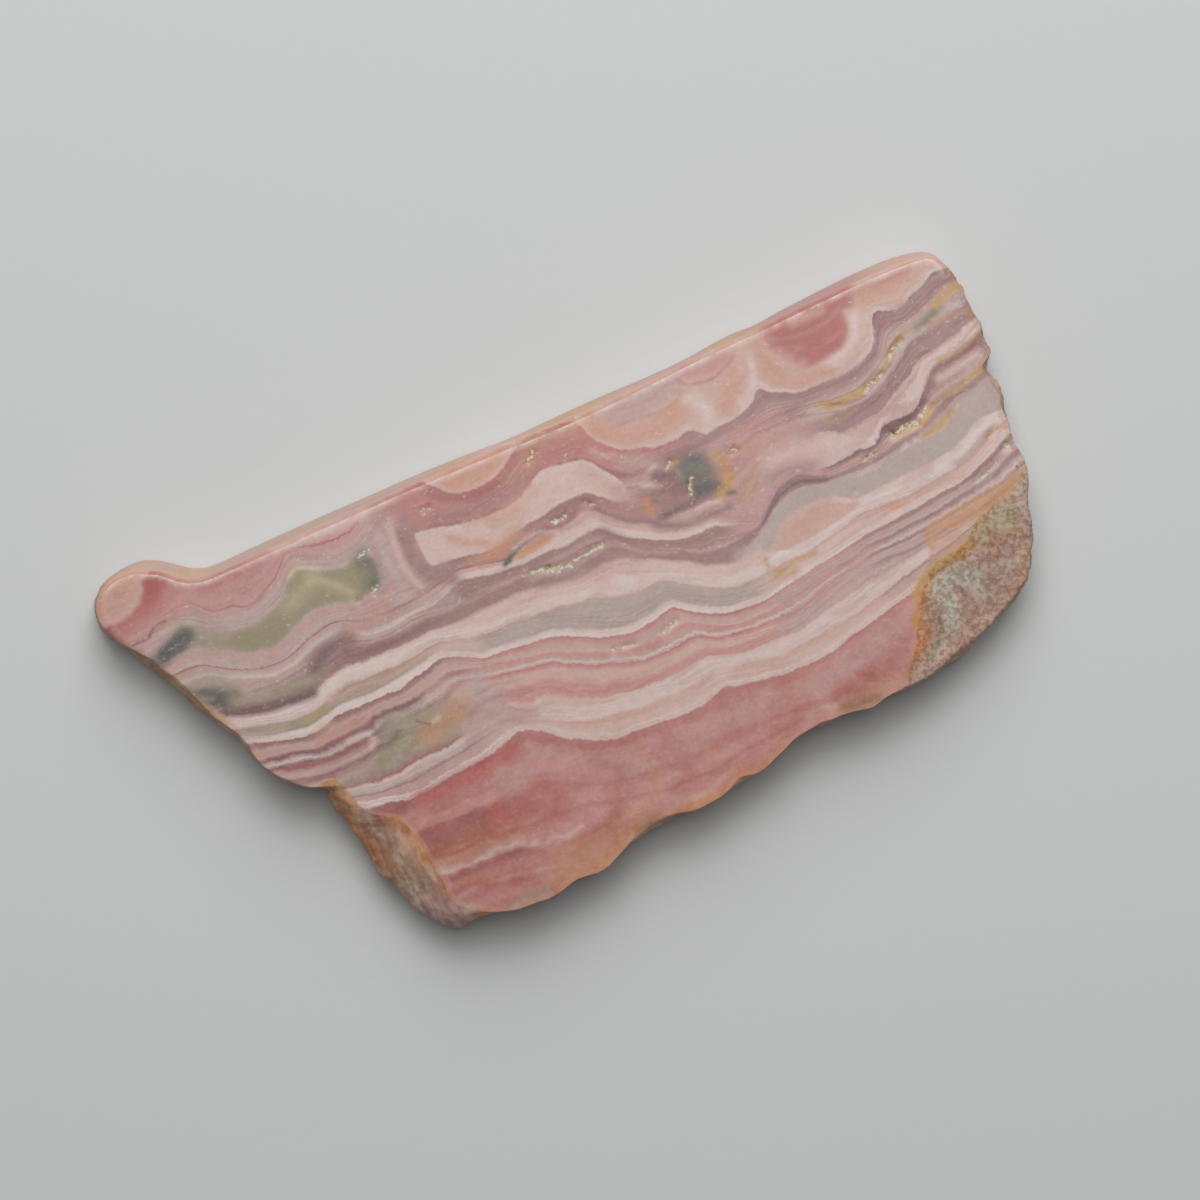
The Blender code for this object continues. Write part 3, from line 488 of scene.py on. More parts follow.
# Soft colour in the crystal: (colour, strength, width, softness, path).
STAINS = (
    # the knob and the upper left
    ("flesh", 0.45, 1.6, 1.4, ((-35.6, 16), (-34.2, 16.2))),
    ("peach_deep", 0.7, 0.7, 0.6, ((-35.6, 18), (-33.6, 18.1), (-32.4, 17.9))),
    ("rose", 0.6, 1.0, 0.8, ((-31, 15), (-30.2, 15.2), (-29.6, 15.4))),
    ("pink", 0.6, 1.6, 1.4, ((-35, 13.4), (-31.5, 14.2), (-30.4, 14.6))),
    ("heather", 0.7, 1.4, 1.2, ((-29, 14.2), (-28.2, 13.4))),
    ("rose", 0.45, 1.2, 1.2, ((-27.4, 14.4), (-25.4, 14.2), (-24, 14.4))),
    ("heather", 0.6, 1.4, 1.2, ((-26.5, 13), (-23.5, 13.6), (-22.4, 14.4))),
    ("crimson", 0.5, 0.5, 0.8, ((-28.4, 14.7), (-24, 14.7))),
    ("pale", 0.7, 0.6, 0.6, ((-21.6, 15.1), (-17.5, 14.7), (-14, 14.8))),
    ("mauve_pale", 0.7, 1.1, 0.8, ((-28, 11.3), (-25.6, 11), (-23.4, 11.7))),
    ("cream", 0.8, 0.3, 0.4, ((-21.4, 12.7), (-20.8, 13.1), (-20, 12.8), (-19.2, 12.3))),
    ("cream", 0.7, 0.4, 0.5, ((-32.3, 12.5), (-31.2, 12.7), (-30.2, 12.3))),
    ("cream", 0.5, 0.5, 0.7, ((-20, 11.8), (-18.6, 10.6), (-17.6, 9.4))),
    ("cream", 0.35, 1.0, 0.9, ((-22.6, 10.4), (-20.4, 11.4))),
    ("slate", 0.6, 1.4, 0.9, ((-15.6, 11.4), (-15.2, 10.2), (-15.6, 9.3))),
    ("olive_grey", 0.9, 1.7, 0.9, ((-31.4, 11.8), (-30, 11.2), (-28.8, 10.3))),
    ("slate", 1.0, 1.3, 0.5, ((-35, 10.3), (-33.6, 10.8), (-32.4, 11.3), (-31, 11.7))),
    ("slate", 0.7, 0.5, 0.5, ((-33.2, 11), (-31.4, 10.9))),
    ("slate", 1.0, 1.7, 0.5, ((-33, 7), (-31.2, 6.4), (-30.2, 5.9), (-29.8, 5.6))),
    ("grey", 0.5, 0.3, 0.4, ((-31.8, 6.5), (-31.2, 6.2))),
    ("olive_grey", 0.6, 1.1, 0.8, ((-32, 8), (-30.3, 7.5), (-29.4, 6.6))),
    ("ochre", 0.9, 0.5, 0.4, ((-34.3, 10.2), (-33.4, 8.4), (-32.2, 6), (-31, 4))),
    ("mauve_dark", 1.0, 0.8, 0.4, ((-30.6, 4.75), (-28.6, 4.1), (-26, 3.65), (-23.6, 3.4))),
    ("olive_grey", 0.9, 0.9, 0.6, ((-29.6, 5.4), (-27.5, 4.9), (-25, 4.5), (-22.2, 4.7))),
    ("mauve_dark", 0.9, 1.3, 0.7, ((-22.6, 5.2), (-21.2, 5.9), (-19.4, 6.2))),
    ("mauve_dark", 0.5, 0.5, 0.5, ((-20, 4.9), (-17.6, 4.6), (-14.5, 4.5), (-12.4, 4.6))),
    ("tan", 0.45, 1.0, 0.9, ((-19.4, 6.4), (-17.4, 7), (-15.4, 7.7))),
    ("flesh", 0.6, 1.6, 1.0, ((-18, 7.8), (-16, 7.4), (-14.6, 8))),
    # the earthy layer and the folded layers on the left
    ("mauve_pale", 0.6, 0.7, 0.6, ((-30, 2.4), (-28.4, 1.9), (-27, 1.6))),
    ("peach", 0.8, 0.5, 0.5, ((-22.6, 2.2), (-20.6, 2.3), (-17.6, 2.1), (-13.8, 2.5), (-11.6, 2.3))),
    ("ochre", 0.5, 0.3, 0.4, ((-25, 1.6), (-24, 1.8), (-23, 1.7))),
    ("blush", 0.85, 0.9, 0.8, ((-12.6, 2.3), (-11.2, 1.9), (-10.2, 1.6))),
    ("cream", 0.6, 0.3, 0.4, ((-24.4, 0.6), (-23.4, 0.6))),
    ("tan", 0.5, 0.7, 0.7, ((-24.6, -0.3), (-22.6, -0.2), (-20.8, -0.4))),
    ("rose_dark", 1.0, 0.5, 0.35, ((-28, -1.3), (-26, -1.85), (-23.6, -2.1), (-21.4, -1.9))),
    ("rose_dark", 0.9, 0.3, 0.3, ((-25.4, -1), (-23.4, -1.05), (-21.8, -0.9))),
    ("rose_dark", 0.9, 0.4, 0.35, ((-27.2, -2.9), (-25, -3.1), (-22, -3.2), (-20.8, -2.8))),
    ("pale", 0.85, 0.35, 0.3, ((-22.6, -1.35), (-21.4, -1.3), (-20.8, -1.6), (-20.7, -2.2), (-21.2, -2.6))),
    ("mauve_dark", 0.7, 0.25, 0.3, (
        (-22, -0.85), (-20.8, -0.9), (-20.2, -1.5), (-20.1, -2.3), (-20.6, -2.9),
    )),
    ("flesh", 0.5, 0.4, 0.5, ((-28.4, -2), (-26.6, -2.5), (-25.4, -2.6))),
    # the earthy pocket on the left
    ("olive_grey", 0.95, 2.2, 0.7, ((-19, -1.9), (-17.4, -2.3), (-15.4, -2.5), (-13.9, -2.6))),
    ("olive_grey", 0.9, 1.2, 0.6, ((-23.6, -4.1), (-21, -3.9), (-18, -3.5), (-14.6, -3.8))),
    ("flesh", 0.6, 0.5, 0.5, ((-24.2, -3.7), (-22.6, -3.9), (-21.4, -3.8))),
    ("olive", 0.8, 0.7, 0.6, ((-20.8, -4), (-19.8, -3.4), (-18.8, -2.6))),
    ("slate", 0.7, 0.3, 0.4, ((-19.8, -2.9), (-19, -2.5), (-18.6, -2.3))),
    ("mauve", 0.7, 0.25, 0.3, ((-19.8, -1.5), (-19.3, -1.3), (-18.8, -1.6))),
    ("mauve", 0.6, 0.25, 0.3, ((-17.6, -0.9), (-16.6, -1.2), (-15.8, -0.8))),
    ("tan", 0.85, 1.5, 1.0, ((-16.4, -3.4), (-14.8, -2.9), (-13.2, -2.5), (-12.6, -2.2))),
    ("ochre", 0.35, 0.8, 0.8, ((-17.6, -3.6), (-15.8, -3.6), (-14, -3.2))),
    ("cream", 0.9, 0.25, 0.25, ((-15.8, -2.7), (-15.2, -2.55))),
    ("peach", 0.7, 1.4, 0.9, ((-15, -0.4), (-13.6, -0.6), (-12.4, -1.4))),
    ("mauve", 0.5, 0.2, 0.3, ((-14.8, -1.5), (-13.8, -1), (-12.8, -0.6), (-12, -0.5))),
    ("mauve_pale", 0.8, 1.6, 0.9, ((-11.4, -1.4), (-11.2, -3), (-10.6, -4))),
    ("mauve", 0.6, 0.2, 0.3, ((-12, -2.9), (-10.4, -2.9), (-9, -3.2), (-7.6, -3.5))),
    ("mauve", 0.5, 0.2, 0.3, ((-11.6, -2), (-10, -2), (-8.4, -2.4))),
    ("rose", 0.6, 0.25, 0.3, ((-10, -3.7), (-9.4, -4.4), (-8.4, -4.9), (-7, -5.2))),
    ("flesh", 0.85, 1.3, 0.7, ((-13.4, -4.5), (-11, -4.4), (-9.4, -5), (-8.4, -5.4))),
    ("mauve", 0.5, 0.2, 0.3, ((-14, -5.4), (-12, -5), (-10.4, -5), (-9.2, -5.5))),
    ("pale", 0.6, 0.9, 0.7, ((-7, -5.2), (-5.8, -5.8), (-4.6, -6.4))),
    # the fold left of the block
    ("mauve_pale", 0.9, 1.0, 0.6, ((-13.7, 12.4), (-13.9, 10), (-13.6, 8.4))),
    ("rose", 0.55, 0.25, 0.35, (
        (-13.7, 14), (-13.1, 12.8), (-13.15, 11), (-13.2, 9.4), (-12.9, 8), (-12.3, 7),
    )),
    ("pale", 0.6, 0.5, 0.4, ((-12.2, 13.6), (-12.7, 12.4), (-12.85, 10.6), (-12.8, 9), (-12.3, 7.7))),
    ("mauve", 0.85, 0.9, 0.5, (
        (-11.2, 13.2), (-11.7, 12), (-11.75, 10.4), (-11.65, 9), (-11.1, 8), (-10, 7.7),
    )),
    ("rose_dark", 0.6, 0.25, 0.3, ((-12.1, 12.6), (-12.2, 11), (-12.1, 9.4))),
    ("rose", 0.4, 0.2, 0.35, ((-14.2, 13), (-14.4, 11), (-14.3, 9), (-14.1, 7.8))),
    ("flesh", 0.6, 0.8, 0.7, ((-13.4, 7.6), (-12, 6.8), (-11, 6.6))),
    ("mauve", 0.75, 1.2, 0.8, ((-9.9, 8), (-9.6, 6.2), (-9.8, 4.6))),
    ("grey", 0.6, 0.9, 0.7, ((-11, 5.4), (-10.2, 5.6))),
    # above and inside the block
    ("rose", 0.7, 2.2, 1.2, ((-11.6, 14.2), (-9.8, 13.8), (-8.6, 12.9))),
    ("rose_dark", 0.7, 0.6, 0.5, (
        (-8.9, 14.6), (-7.7, 13.4), (-6, 12.65), (-4, 12.5), (-2.5, 12.9), (-1.2, 13.8),
    )),
    ("mauve", 0.6, 0.9, 0.7, ((-8.8, 12), (-6, 11.4), (-3.6, 11.4), (-1.4, 12.3))),
    ("tan", 0.7, 1.0, 0.9, ((-2.4, 12.7), (-0.6, 13.4), (1.4, 14), (4, 13.8))),
    ("crimson", 0.4, 1.0, 0.8, ((0.6, 13), (2.6, 13), (4.2, 12.6))),
    ("blush", 0.8, 1.2, 0.7, ((-10.4, 10.9), (-9.8, 9.4))),
    ("peach_deep", 0.9, 0.5, 0.5, ((-8.6, 10.2), (-7.4, 9.2), (-6, 8.6))),
    ("peach_deep", 0.8, 0.6, 0.6, ((-5.2, 10.2), (-3.6, 9.9), (-1.8, 10.3), (-0.6, 10.8))),
    ("peach_deep", 0.6, 0.4, 0.4, ((-7, 10.7), (-5, 10.4), (-3.2, 10.7), (-1, 11.4))),
    ("peach", 0.6, 1.0, 0.8, ((-4.6, 9.2), (-3, 9.2))),
    ("peach", 0.9, 1.0, 0.7, ((3.4, 10.8), (4.2, 9.6), (5, 8.2))),
    ("flesh", 0.95, 0.9, 0.8, ((5.3, 8), (5.9, 7.1))),
    ("blush", 0.8, 1.2, 0.9, ((-1.6, 9.8), (0.2, 10.4), (2.6, 10.6))),
    ("tan", 0.9, 0.9, 0.6, ((-7.4, 7.6), (-6, 7.6), (-4.6, 7.9), (-3.4, 8.3))),
    ("orange", 0.5, 0.5, 0.5, ((-6.4, 7.6), (-4.8, 7.8))),
    ("slate", 1.0, 0.3, 0.25, ((-5.4, 6.45), (-4.9, 6.7), (-4.2, 7.05), (-3.4, 7.5))),
    ("orange", 0.7, 0.6, 0.4, ((-3.9, 6.6), (-2.6, 6.8), (-1.3, 6.9))),
    ("pale", 0.8, 0.2, 0.25, ((-4.2, 7.3), (-3.2, 7.6), (-1.8, 7.7), (-0.6, 7.2))),
    ("pale", 0.8, 0.7, 0.4, ((-1, 6.5), (0.8, 6.5), (2.4, 6.6))),
    ("pale", 0.7, 1.2, 0.8, ((3, -7.9), (5, -8), (7, -8.3))),
    ("peach", 0.8, 0.6, 0.4, ((0.9, 7.2), (2.2, 7.6))),
    ("rose_dark", 0.7, 0.3, 0.3, (
        (-1.2, 7.9), (0, 7.5), (1.2, 7.9), (1.6, 8.4), (2.6, 8.4), (3, 7.8), (3.6, 6.9),
    )),
    ("russet", 0.8, 0.8, 0.6, ((-9, 5.6), (-6, 5.5), (-3.6, 5.3))),
    ("russet", 0.9, 1.0, 0.6, ((-3.4, 3.9), (-1, 3.7), (1, 3.9), (3, 3.9))),
    ("blush", 0.8, 0.9, 0.7, ((-9, 3.1), (-6, 3.1), (-3.4, 2.9), (-1, 2.6), (1.6, 2.4))),
    ("peach", 0.6, 1.2, 0.9, ((1, 1.9), (2.6, 2.6), (4, 2.1))),
    ("flesh", 0.7, 0.2, 0.2, ((-9.6, 4.9), (-7.4, 5), (-5.4, 5))),
    ("flesh", 0.6, 0.25, 0.25, ((-4.2, 5.4), (-1.6, 5.2), (1, 5.4), (2.6, 5.2))),
    # the shells
    ("peach_deep", 0.9, 1.2, 0.9, ((6.4, 12.4), (8.6, 11.5), (11, 11.6), (12.8, 12.2))),
    ("peach_deep", 0.9, 1.2, 0.8, ((5.5, 14.8), (5.8, 13.2))),
    ("orange", 0.4, 0.4, 0.4, ((5.2, 14.4), (5.8, 14.6))),
    ("tan", 0.8, 0.7, 0.5, ((0.2, 14.6), (2.6, 14.4), (4.2, 14.2))),
    ("flesh", 0.95, 1.6, 0.4, ((7.4, 14), (9.6, 13.8), (12.6, 14.1))),
    ("rose", 0.7, 0.15, 0.2, ((6.8, 13), (9, 12.8), (10.6, 12.6), (12, 12.7), (13.3, 13.3))),
    ("rose", 0.5, 0.15, 0.2, ((7.4, 14.2), (9.6, 13.75), (11.4, 14), (12.6, 14.5))),
    ("ochre", 0.5, 0.2, 0.3, ((10.2, 12.2), (11.8, 12.3), (13, 12.9))),
    ("pink", 0.95, 1.0, 0.5, ((13.9, 14.7), (15.4, 14.2), (17.4, 14.5))),
    ("rose", 0.9, 0.2, 0.2, (
        (13.2, 14.3), (13.8, 13.6), (14.9, 13.35), (16, 13.3), (17.2, 13.7), (18.2, 14.3),
    )),
    ("pale", 0.9, 1.0, 0.7, ((13.5, 12.6), (14.3, 11.2), (14.1, 10.2))),
    ("peach_deep", 0.8, 1.2, 0.8, ((15.9, 10.8), (16.6, 11.6), (17.4, 12.6))),
    ("pale", 0.9, 0.5, 0.4, ((17.2, 10.5), (18.3, 11.2), (19, 12.4), (19.3, 13.6))),
    ("tan", 0.6, 1.2, 0.9, ((20.2, 14.4), (20.4, 12.4), (21, 11))),
    ("peach_deep", 0.8, 0.9, 0.6, ((20.2, 12), (21.2, 10.8), (22.6, 10.1), (24.6, 9.9))),
    ("blush", 0.7, 0.6, 0.5, ((25.4, 10.1), (27.4, 10.5), (28.5, 11.6), (28.6, 13))),
    ("white", 0.7, 0.5, 0.4, ((28.2, 13.2), (27.9, 12.2), (27.4, 11.5), (26.2, 10.9), (24.6, 10.7))),
    ("peach_deep", 1.0, 0.9, 0.7, ((29.3, 14.3), (31.5, 14.3), (33.5, 14.6))),
    ("rose", 0.8, 0.5, 0.4, ((29, 15), (31, 14.8), (33.6, 14.9))),
    ("crimson", 0.9, 1.4, 0.7, ((22.8, 12.8), (24.6, 12.6), (26.4, 12.9))),
    ("crimson", 0.9, 0.7, 0.6, ((22.8, 11.9), (24.2, 11.5), (26, 11.9))),
    ("rose", 0.8, 0.35, 0.3, ((21.3, 14.2), (22.6, 13.8), (24.2, 13.5), (26, 13.7), (27.4, 14.2))),
    ("crimson", 0.6, 0.6, 0.5, ((22, 14.7), (24.6, 14.6), (27.6, 14.8))),
    ("pink", 0.5, 0.15, 0.2, ((22.8, 12.9), (24, 12.2), (25.4, 12.1), (26.8, 12.6))),
    ("pink", 0.8, 0.8, 0.5, ((21.6, 13), (22.1, 12.3), (22.8, 11.5))),
    # the speckled rose layer and the dark layers in the middle
    ("pale", 0.5, 0.3, 0.4, ((4.6, 12), (5.4, 11.2), (6.2, 10.8))),
    ("flesh", 0.7, 0.9, 0.7, ((6.2, 8.3), (7.2, 8), (8, 7.9))),
    ("mauve_pale", 0.6, 1.2, 0.9, ((6.8, 10), (8, 9.4), (8.8, 8.8))),
    ("mauve", 0.7, 0.9, 0.7, ((9.6, 9.4), (11.2, 9.4), (12.6, 9.6))),
    ("mauve_dark", 1.0, 0.9, 0.5, ((8.6, 7.9), (9.5, 7.5), (9.8, 6.8), (9.2, 6.4))),
    ("pale", 0.8, 0.3, 0.25, ((7.2, 7.8), (8.2, 7.3), (8.8, 6.9))),
    ("pale", 0.7, 0.25, 0.25, ((10.3, 7.6), (10.4, 6.6), (10.2, 6))),
    ("mauve_dark", 0.7, 0.5, 0.5, ((6.9, 4.4), (9, 3.5), (11, 3.4), (12.8, 3.3))),
    ("russet", 0.8, 0.7, 0.5, ((2.9, 5.6), (4.2, 4), (6, 2.6), (8, 1.7))),
    ("flesh", 0.7, 0.2, 0.2, ((3.4, 4.6), (4.4, 3.4), (6, 2.4), (7.6, 1.8))),
    ("mauve", 0.7, 0.6, 0.5, ((4.4, 6.6), (5.8, 5.5), (7, 4.9))),
    ("rose", 0.6, 0.4, 0.4, ((4.6, 7.3), (5.8, 6.7), (7.2, 6.5))),
    ("pale", 0.8, 0.3, 0.25, ((10.4, 4.2), (11.4, 4.3), (12.4, 4))),
    ("rose_dark", 0.7, 0.25, 0.3, ((22.6, 11.9), (24.4, 12.25), (26, 11.8))),
    ("rose_dark", 0.55, 0.2, 0.3, ((22, 12.9), (24, 13.1), (25.4, 12.8), (27, 13.1))),
    ("peach", 0.6, 0.6, 0.6, ((23.4, 14.7), (26, 14.7))),
    ("slate", 0.8, 0.4, 0.4, ((7.8, 4.9), (9.2, 4.85), (10.6, 5))),
    ("russet", 0.8, 1.2, 0.9, ((8.2, 6.2), (9.6, 5.8), (10.4, 6.1))),
    ("rose_dark", 0.8, 0.9, 0.7, ((8.8, 7), (9.8, 6.8), (10, 6.2))),
    ("slate", 0.8, 1.2, 0.8, ((10.8, 8), (11.5, 8.1), (12.2, 7.8))),
    ("slate_green", 0.95, 1.5, 0.9, ((11.2, 7.1), (12.2, 6.5))),
    ("slate", 0.75, 1.1, 0.7, ((10.7, 6.4), (11.4, 5.9), (12, 5.6))),
    ("slate", 0.95, 0.7, 0.5, ((10.9, 5.3), (11.8, 5.3), (12.8, 5.2))),
    ("ochre", 1.0, 0.8, 0.6, ((13.7, 7.4), (13.9, 6.2), (13.6, 5.2), (12.8, 4.6))),
    ("orange", 0.8, 0.4, 0.3, ((13.7, 6.2), (14.2, 5.8))),
    ("ochre", 0.8, 0.2, 0.2, ((10.5, 5.5), (10.8, 6.2), (11.1, 6.9))),
    ("ochre", 0.8, 0.25, 0.25, ((9.6, 8.3), (10.6, 8.3))),
    ("cream", 0.8, 0.25, 0.25, ((8.3, 8.7), (8.7, 8.8))),
    ("slate", 0.95, 0.3, 0.3, ((13.3, 4.35), (13.7, 4.25))),
    ("orange", 0.8, 0.4, 0.5, ((6.9, 6.4), (7.1, 5.4))),
    ("tan", 0.8, 0.9, 0.8, ((14.8, 7.2), (16.6, 7))),
    ("ochre", 0.45, 0.8, 0.8, ((15.4, 4.6), (14.8, 3.6))),
    ("pink", 0.6, 1.6, 1.2, ((16, 8.6), (17.6, 7.8), (18.6, 6.2))),
    ("blush", 0.8, 1.3, 1.0, ((17.4, 5.2), (19.6, 5.2), (21, 4.9))),
    ("mauve", 0.6, 0.6, 0.6, ((16.8, 4.3), (18.4, 4.2), (20, 3.6))),
    ("mauve_dark", 0.8, 0.3, 0.3, (
        (14.8, 1), (16.1, 2.1), (17.2, 2.9), (18.6, 3), (19.6, 2.7), (20.8, 2.2),
    )),
    ("mauve", 0.7, 0.9, 0.6, ((9, 0.6), (11, 0), (13, 0.2))),
    ("mauve_pale", 0.8, 0.7, 0.6, ((12, -0.6), (13.4, -0.4), (14.6, 0.3))),
    ("blush", 0.8, 0.7, 0.6, ((9.4, -1.4), (11.4, -1.6), (13.4, -1.6))),
    # the right end
    ("ochre", 0.9, 0.3, 0.35, ((13.8, -1.6), (13.8, -2.5), (14.4, -2.9), (16, -2.75), (17.6, -2.8))),
    ("ochre", 0.6, 0.7, 0.6, ((14.2, -3.3), (15.4, -3.5))),
    ("orange", 0.6, 0.35, 0.4, ((24.2, -1.7), (25.2, -2.1), (26, -2.1))),
    ("tan", 0.5, 0.4, 0.5, ((27, -1.7), (29, -1.9), (31, -1.9))),
    ("ochre", 1.0, 0.6, 0.3, ((22.9, 7.9), (23.8, 7.4), (24.8, 7.35), (26.2, 7.35))),
    ("brown", 0.8, 0.25, 0.25, ((23.5, 7.6), (24.3, 7.3))),
    ("ochre", 1.0, 0.35, 0.3, (
        (26.2, 7.4), (27.4, 7.8), (28.6, 8.3), (29.4, 9), (30.4, 9.9), (31.6, 10.4),
    )),
    ("ochre", 0.6, 0.4, 0.4, ((22.8, 6.5), (24, 6.4), (25.6, 6.3))),
    ("mauve", 0.8, 0.9, 0.6, ((20.4, 8.4), (22.4, 8.7), (25, 8.7), (27.4, 9))),
    ("rose_dark", 0.7, 0.8, 0.5, ((29.9, 12.2), (29.9, 11.6), (30.6, 11.9))),
    ("mauve", 0.8, 1.2, 0.6, ((31, 11.8), (33.4, 12.2), (36, 13))),
    ("olive", 1.0, 0.6, 0.4, ((32.4, 10.3), (33.6, 10.6), (34.8, 11.1))),
    ("slate", 0.6, 0.3, 0.4, ((33.2, 10.5), (34.2, 10.9))),
    ("ochre", 1.0, 0.6, 0.4, ((34.6, 11.4), (35.6, 11.8), (37.4, 11.9))),
    ("tan", 0.9, 0.4, 0.4, ((33.4, 9.9), (35, 9.95), (37, 9.8))),
    ("mauve", 0.5, 0.7, 0.6, ((23, 5.9), (26, 6.3), (29, 7.6), (32, 9.2), (36, 9.4))),
    ("rose_dark", 0.8, 0.3, 0.3, ((31, 5.4), (31.8, 6.4), (32.8, 6.9), (34.6, 7), (36.4, 7.5))),
    ("blush", 0.8, 0.6, 0.4, ((32.4, 5.9), (34.4, 6.2), (36, 6.4))),
    ("rose", 0.7, 0.2, 0.2, ((32.6, 6.5), (34.6, 6.6), (36.4, 6.9))),
    ("ochre", 0.9, 0.25, 0.3, ((33, 7.2), (35, 7.3), (36.8, 7.9))),
    ("ochre", 1.0, 0.4, 0.35, ((27.4, 3.1), (29.4, 3.1), (30.8, 3.8))),
    ("ochre", 0.9, 0.5, 0.45, ((29.6, 2.2), (31, 2.4), (32.2, 3.1))),
    ("ochre", 1.0, 0.4, 0.35, ((33, 4.4), (34.6, 4.9), (36, 5.2))),
    ("brown", 0.7, 0.25, 0.3, ((31, 4.2), (32.6, 4.6), (34, 4.8))),
    ("mauve_pale", 0.6, 1.2, 1.0, ((33.4, 2.6), (34.8, 3), (36, 3.2))),
    ("ochre", 0.7, 0.3, 0.3, ((34, 0), (34.6, 0.45), (35.4, 0.3))),
    ("mauve", 0.6, 0.3, 0.3, ((31, -1), (33, -0.3), (34.4, 0.4))),
    # the crimson crystal at the foot
    ("rose_dark", 0.85, 0.8, 0.6, ((-22.8, -7.7), (-19, -8.1), (-16, -7.9))),
    ("crimson", 0.9, 1.5, 0.7, ((-19, -8.1), (-15, -7.9), (-12.4, -7.7), (-10.8, -7.5))),
    ("pink", 0.8, 0.5, 0.5, ((-20.6, -9.6), (-18, -9.9), (-15.4, -9.8), (-12.8, -9.7))),
    ("rose", 0.8, 0.7, 0.5, ((-20, -8.9), (-17, -8.9), (-14.4, -8.8))),
    ("rose_dark", 0.8, 0.9, 0.6, ((-20.2, -10.9), (-17.6, -11.3), (-15.3, -11))),
    ("rose_dark", 0.5, 1.6, 0.8, ((-20, -11.9), (-17.6, -11.7), (-15.6, -12.2))),
    ("brick", 1.0, 0.8, 0.5, ((-20.2, -12.4), (-17.6, -12), (-15.3, -12.6))),
    ("tan", 0.9, 0.5, 0.4, ((-20.4, -13.2), (-17.8, -13.5), (-15.6, -13.3))),
    ("blush", 0.8, 0.3, 0.25, (
        (-20, -14), (-19.2, -14.3), (-18.4, -14.1), (-17.6, -14.5), (-17, -14.2), (-16.2, -14.4),
        (-15.4, -14), (-14.4, -14.4), (-13.6, -14.2), (-12.8, -14.9), (-12.2, -14.8),
    )),
    ("rose_dark", 0.8, 0.5, 0.4, ((-19.6, -14.8), (-17, -14.9), (-14.6, -14.8), (-12.9, -15.2))),
    ("tan", 0.7, 0.5, 0.5, ((-20, -15.6), (-17.4, -15.6), (-15, -15.9))),
    ("blush", 0.8, 0.35, 0.25, ((-12.4, -15), (-11.6, -15.3), (-10.8, -15), (-9.6, -15.4), (-8.3, -15.1))),
    ("flesh", 0.7, 1.4, 0.9, ((-12.4, -8.8), (-11.6, -9.9), (-12.6, -10.8))),
    ("crimson", 0.7, 0.9, 0.8, ((-13.6, -11.1), (-11.4, -11), (-9.8, -10.8), (-9, -12))),
    ("crimson", 0.6, 1.6, 1.2, ((-14, -12), (-11.4, -12.4), (-9, -12.6))),
    ("pink", 0.8, 1.4, 1.0, ((-7.6, -10.2), (-5.8, -11.4), (-3.6, -12.2))),
    ("heather", 0.7, 1.0, 0.8, ((-5.6, -11), (-4, -11.8), (-3, -13))),
    ("rose", 0.6, 0.7, 0.7, ((-7, -9), (-5.4, -9.5), (-3.4, -10.3))),
    ("rose", 0.6, 1.0, 0.8, ((-5.4, -13.4), (-3.8, -14))),
    ("tan", 0.6, 0.8, 0.8, ((-1.6, -11.2), (-1.4, -13), (-2, -15))),
    ("rose", 0.5, 1.0, 1.0, ((1, -11), (1.6, -12.6), (1.2, -14))),
    ("tan", 0.6, 1.0, 0.8, ((3.4, -14.2), (3.8, -15.4))),
    ("rose", 0.6, 0.9, 0.8, ((5.2, -10.6), (6.6, -10.4), (8, -11))),
    ("heather", 0.6, 1.2, 0.8, ((5.8, -12.2), (7.6, -12.6))),
    ("rose", 0.5, 1.0, 0.9, ((5, -13.6), (7.4, -13.8))),
    ("tan", 0.5, 1.2, 1.0, ((10.6, -11.4), (12.2, -12.2), (13, -11.6))),
    ("brick", 0.6, 0.8, 0.8, ((8.8, -14.4), (10.6, -14.4), (12.6, -14.2))),
    ("cream", 0.5, 0.25, 0.4, ((11.8, -14.5), (12.8, -14.3), (14.2, -14.7))),
    ("brick", 0.9, 0.8, 0.6, ((14.4, -14), (15.4, -13.9), (16.6, -14.4))),
    ("brick", 0.8, 1.4, 0.8, ((17.4, -13.6), (18.6, -13.9), (19.4, -13.6))),
    ("brown", 1.0, 1.0, 0.6, ((14.8, -15.2), (16.2, -15.3), (17.6, -15.2))),
    ("heather", 0.7, 1.4, 1.0, ((17, -11.6), (19, -11.4), (21.4, -10.6))),
    ("rose", 0.7, 1.0, 0.8, ((18.6, -13.4), (20.4, -13), (22, -12))),
    ("tan", 0.8, 0.7, 0.7, ((17.8, -14.9), (20.6, -14.7))),
    ("brick", 0.7, 0.8, 0.6, ((-9, -16.2), (-7, -15.8), (-5.4, -15.4))),
    ("brick", 0.8, 0.6, 0.5, ((-20.4, -16), (-18.6, -15.7), (-17, -16.3))),
    ("crimson", 0.6, 0.5, 0.4, ((-17.2, -16.5), (-15.4, -16.8), (-13.6, -17))),
    ("pink", 0.6, 0.4, 0.4, ((-18.6, -17.2), (-16.4, -17.6), (-14, -17.7))),
    ("olive_grey", 0.7, 0.6, 0.6, ((-16.2, -18.9), (-13.8, -18.5), (-12.4, -18.6))),
    ("tan", 0.9, 1.2, 1.0, ((-12, -17.8), (-8.8, -17.6), (-5, -16.6))),
    ("orange", 0.45, 0.6, 0.6, ((-12, -18.7), (-8, -18.5), (-5, -17.4), (-3, -16.9))),
    ("brown", 0.8, 0.4, 0.4, ((-4.4, -17.2), (-3.4, -16.9), (-2.4, -16.9))),
    ("tan", 0.8, 1.0, 0.8, ((-4.2, -15.8), (-2.4, -15.7))),
    ("peach_deep", 0.6, 0.5, 0.5, ((-3.8, -15.5), (-2.6, -15.6))),
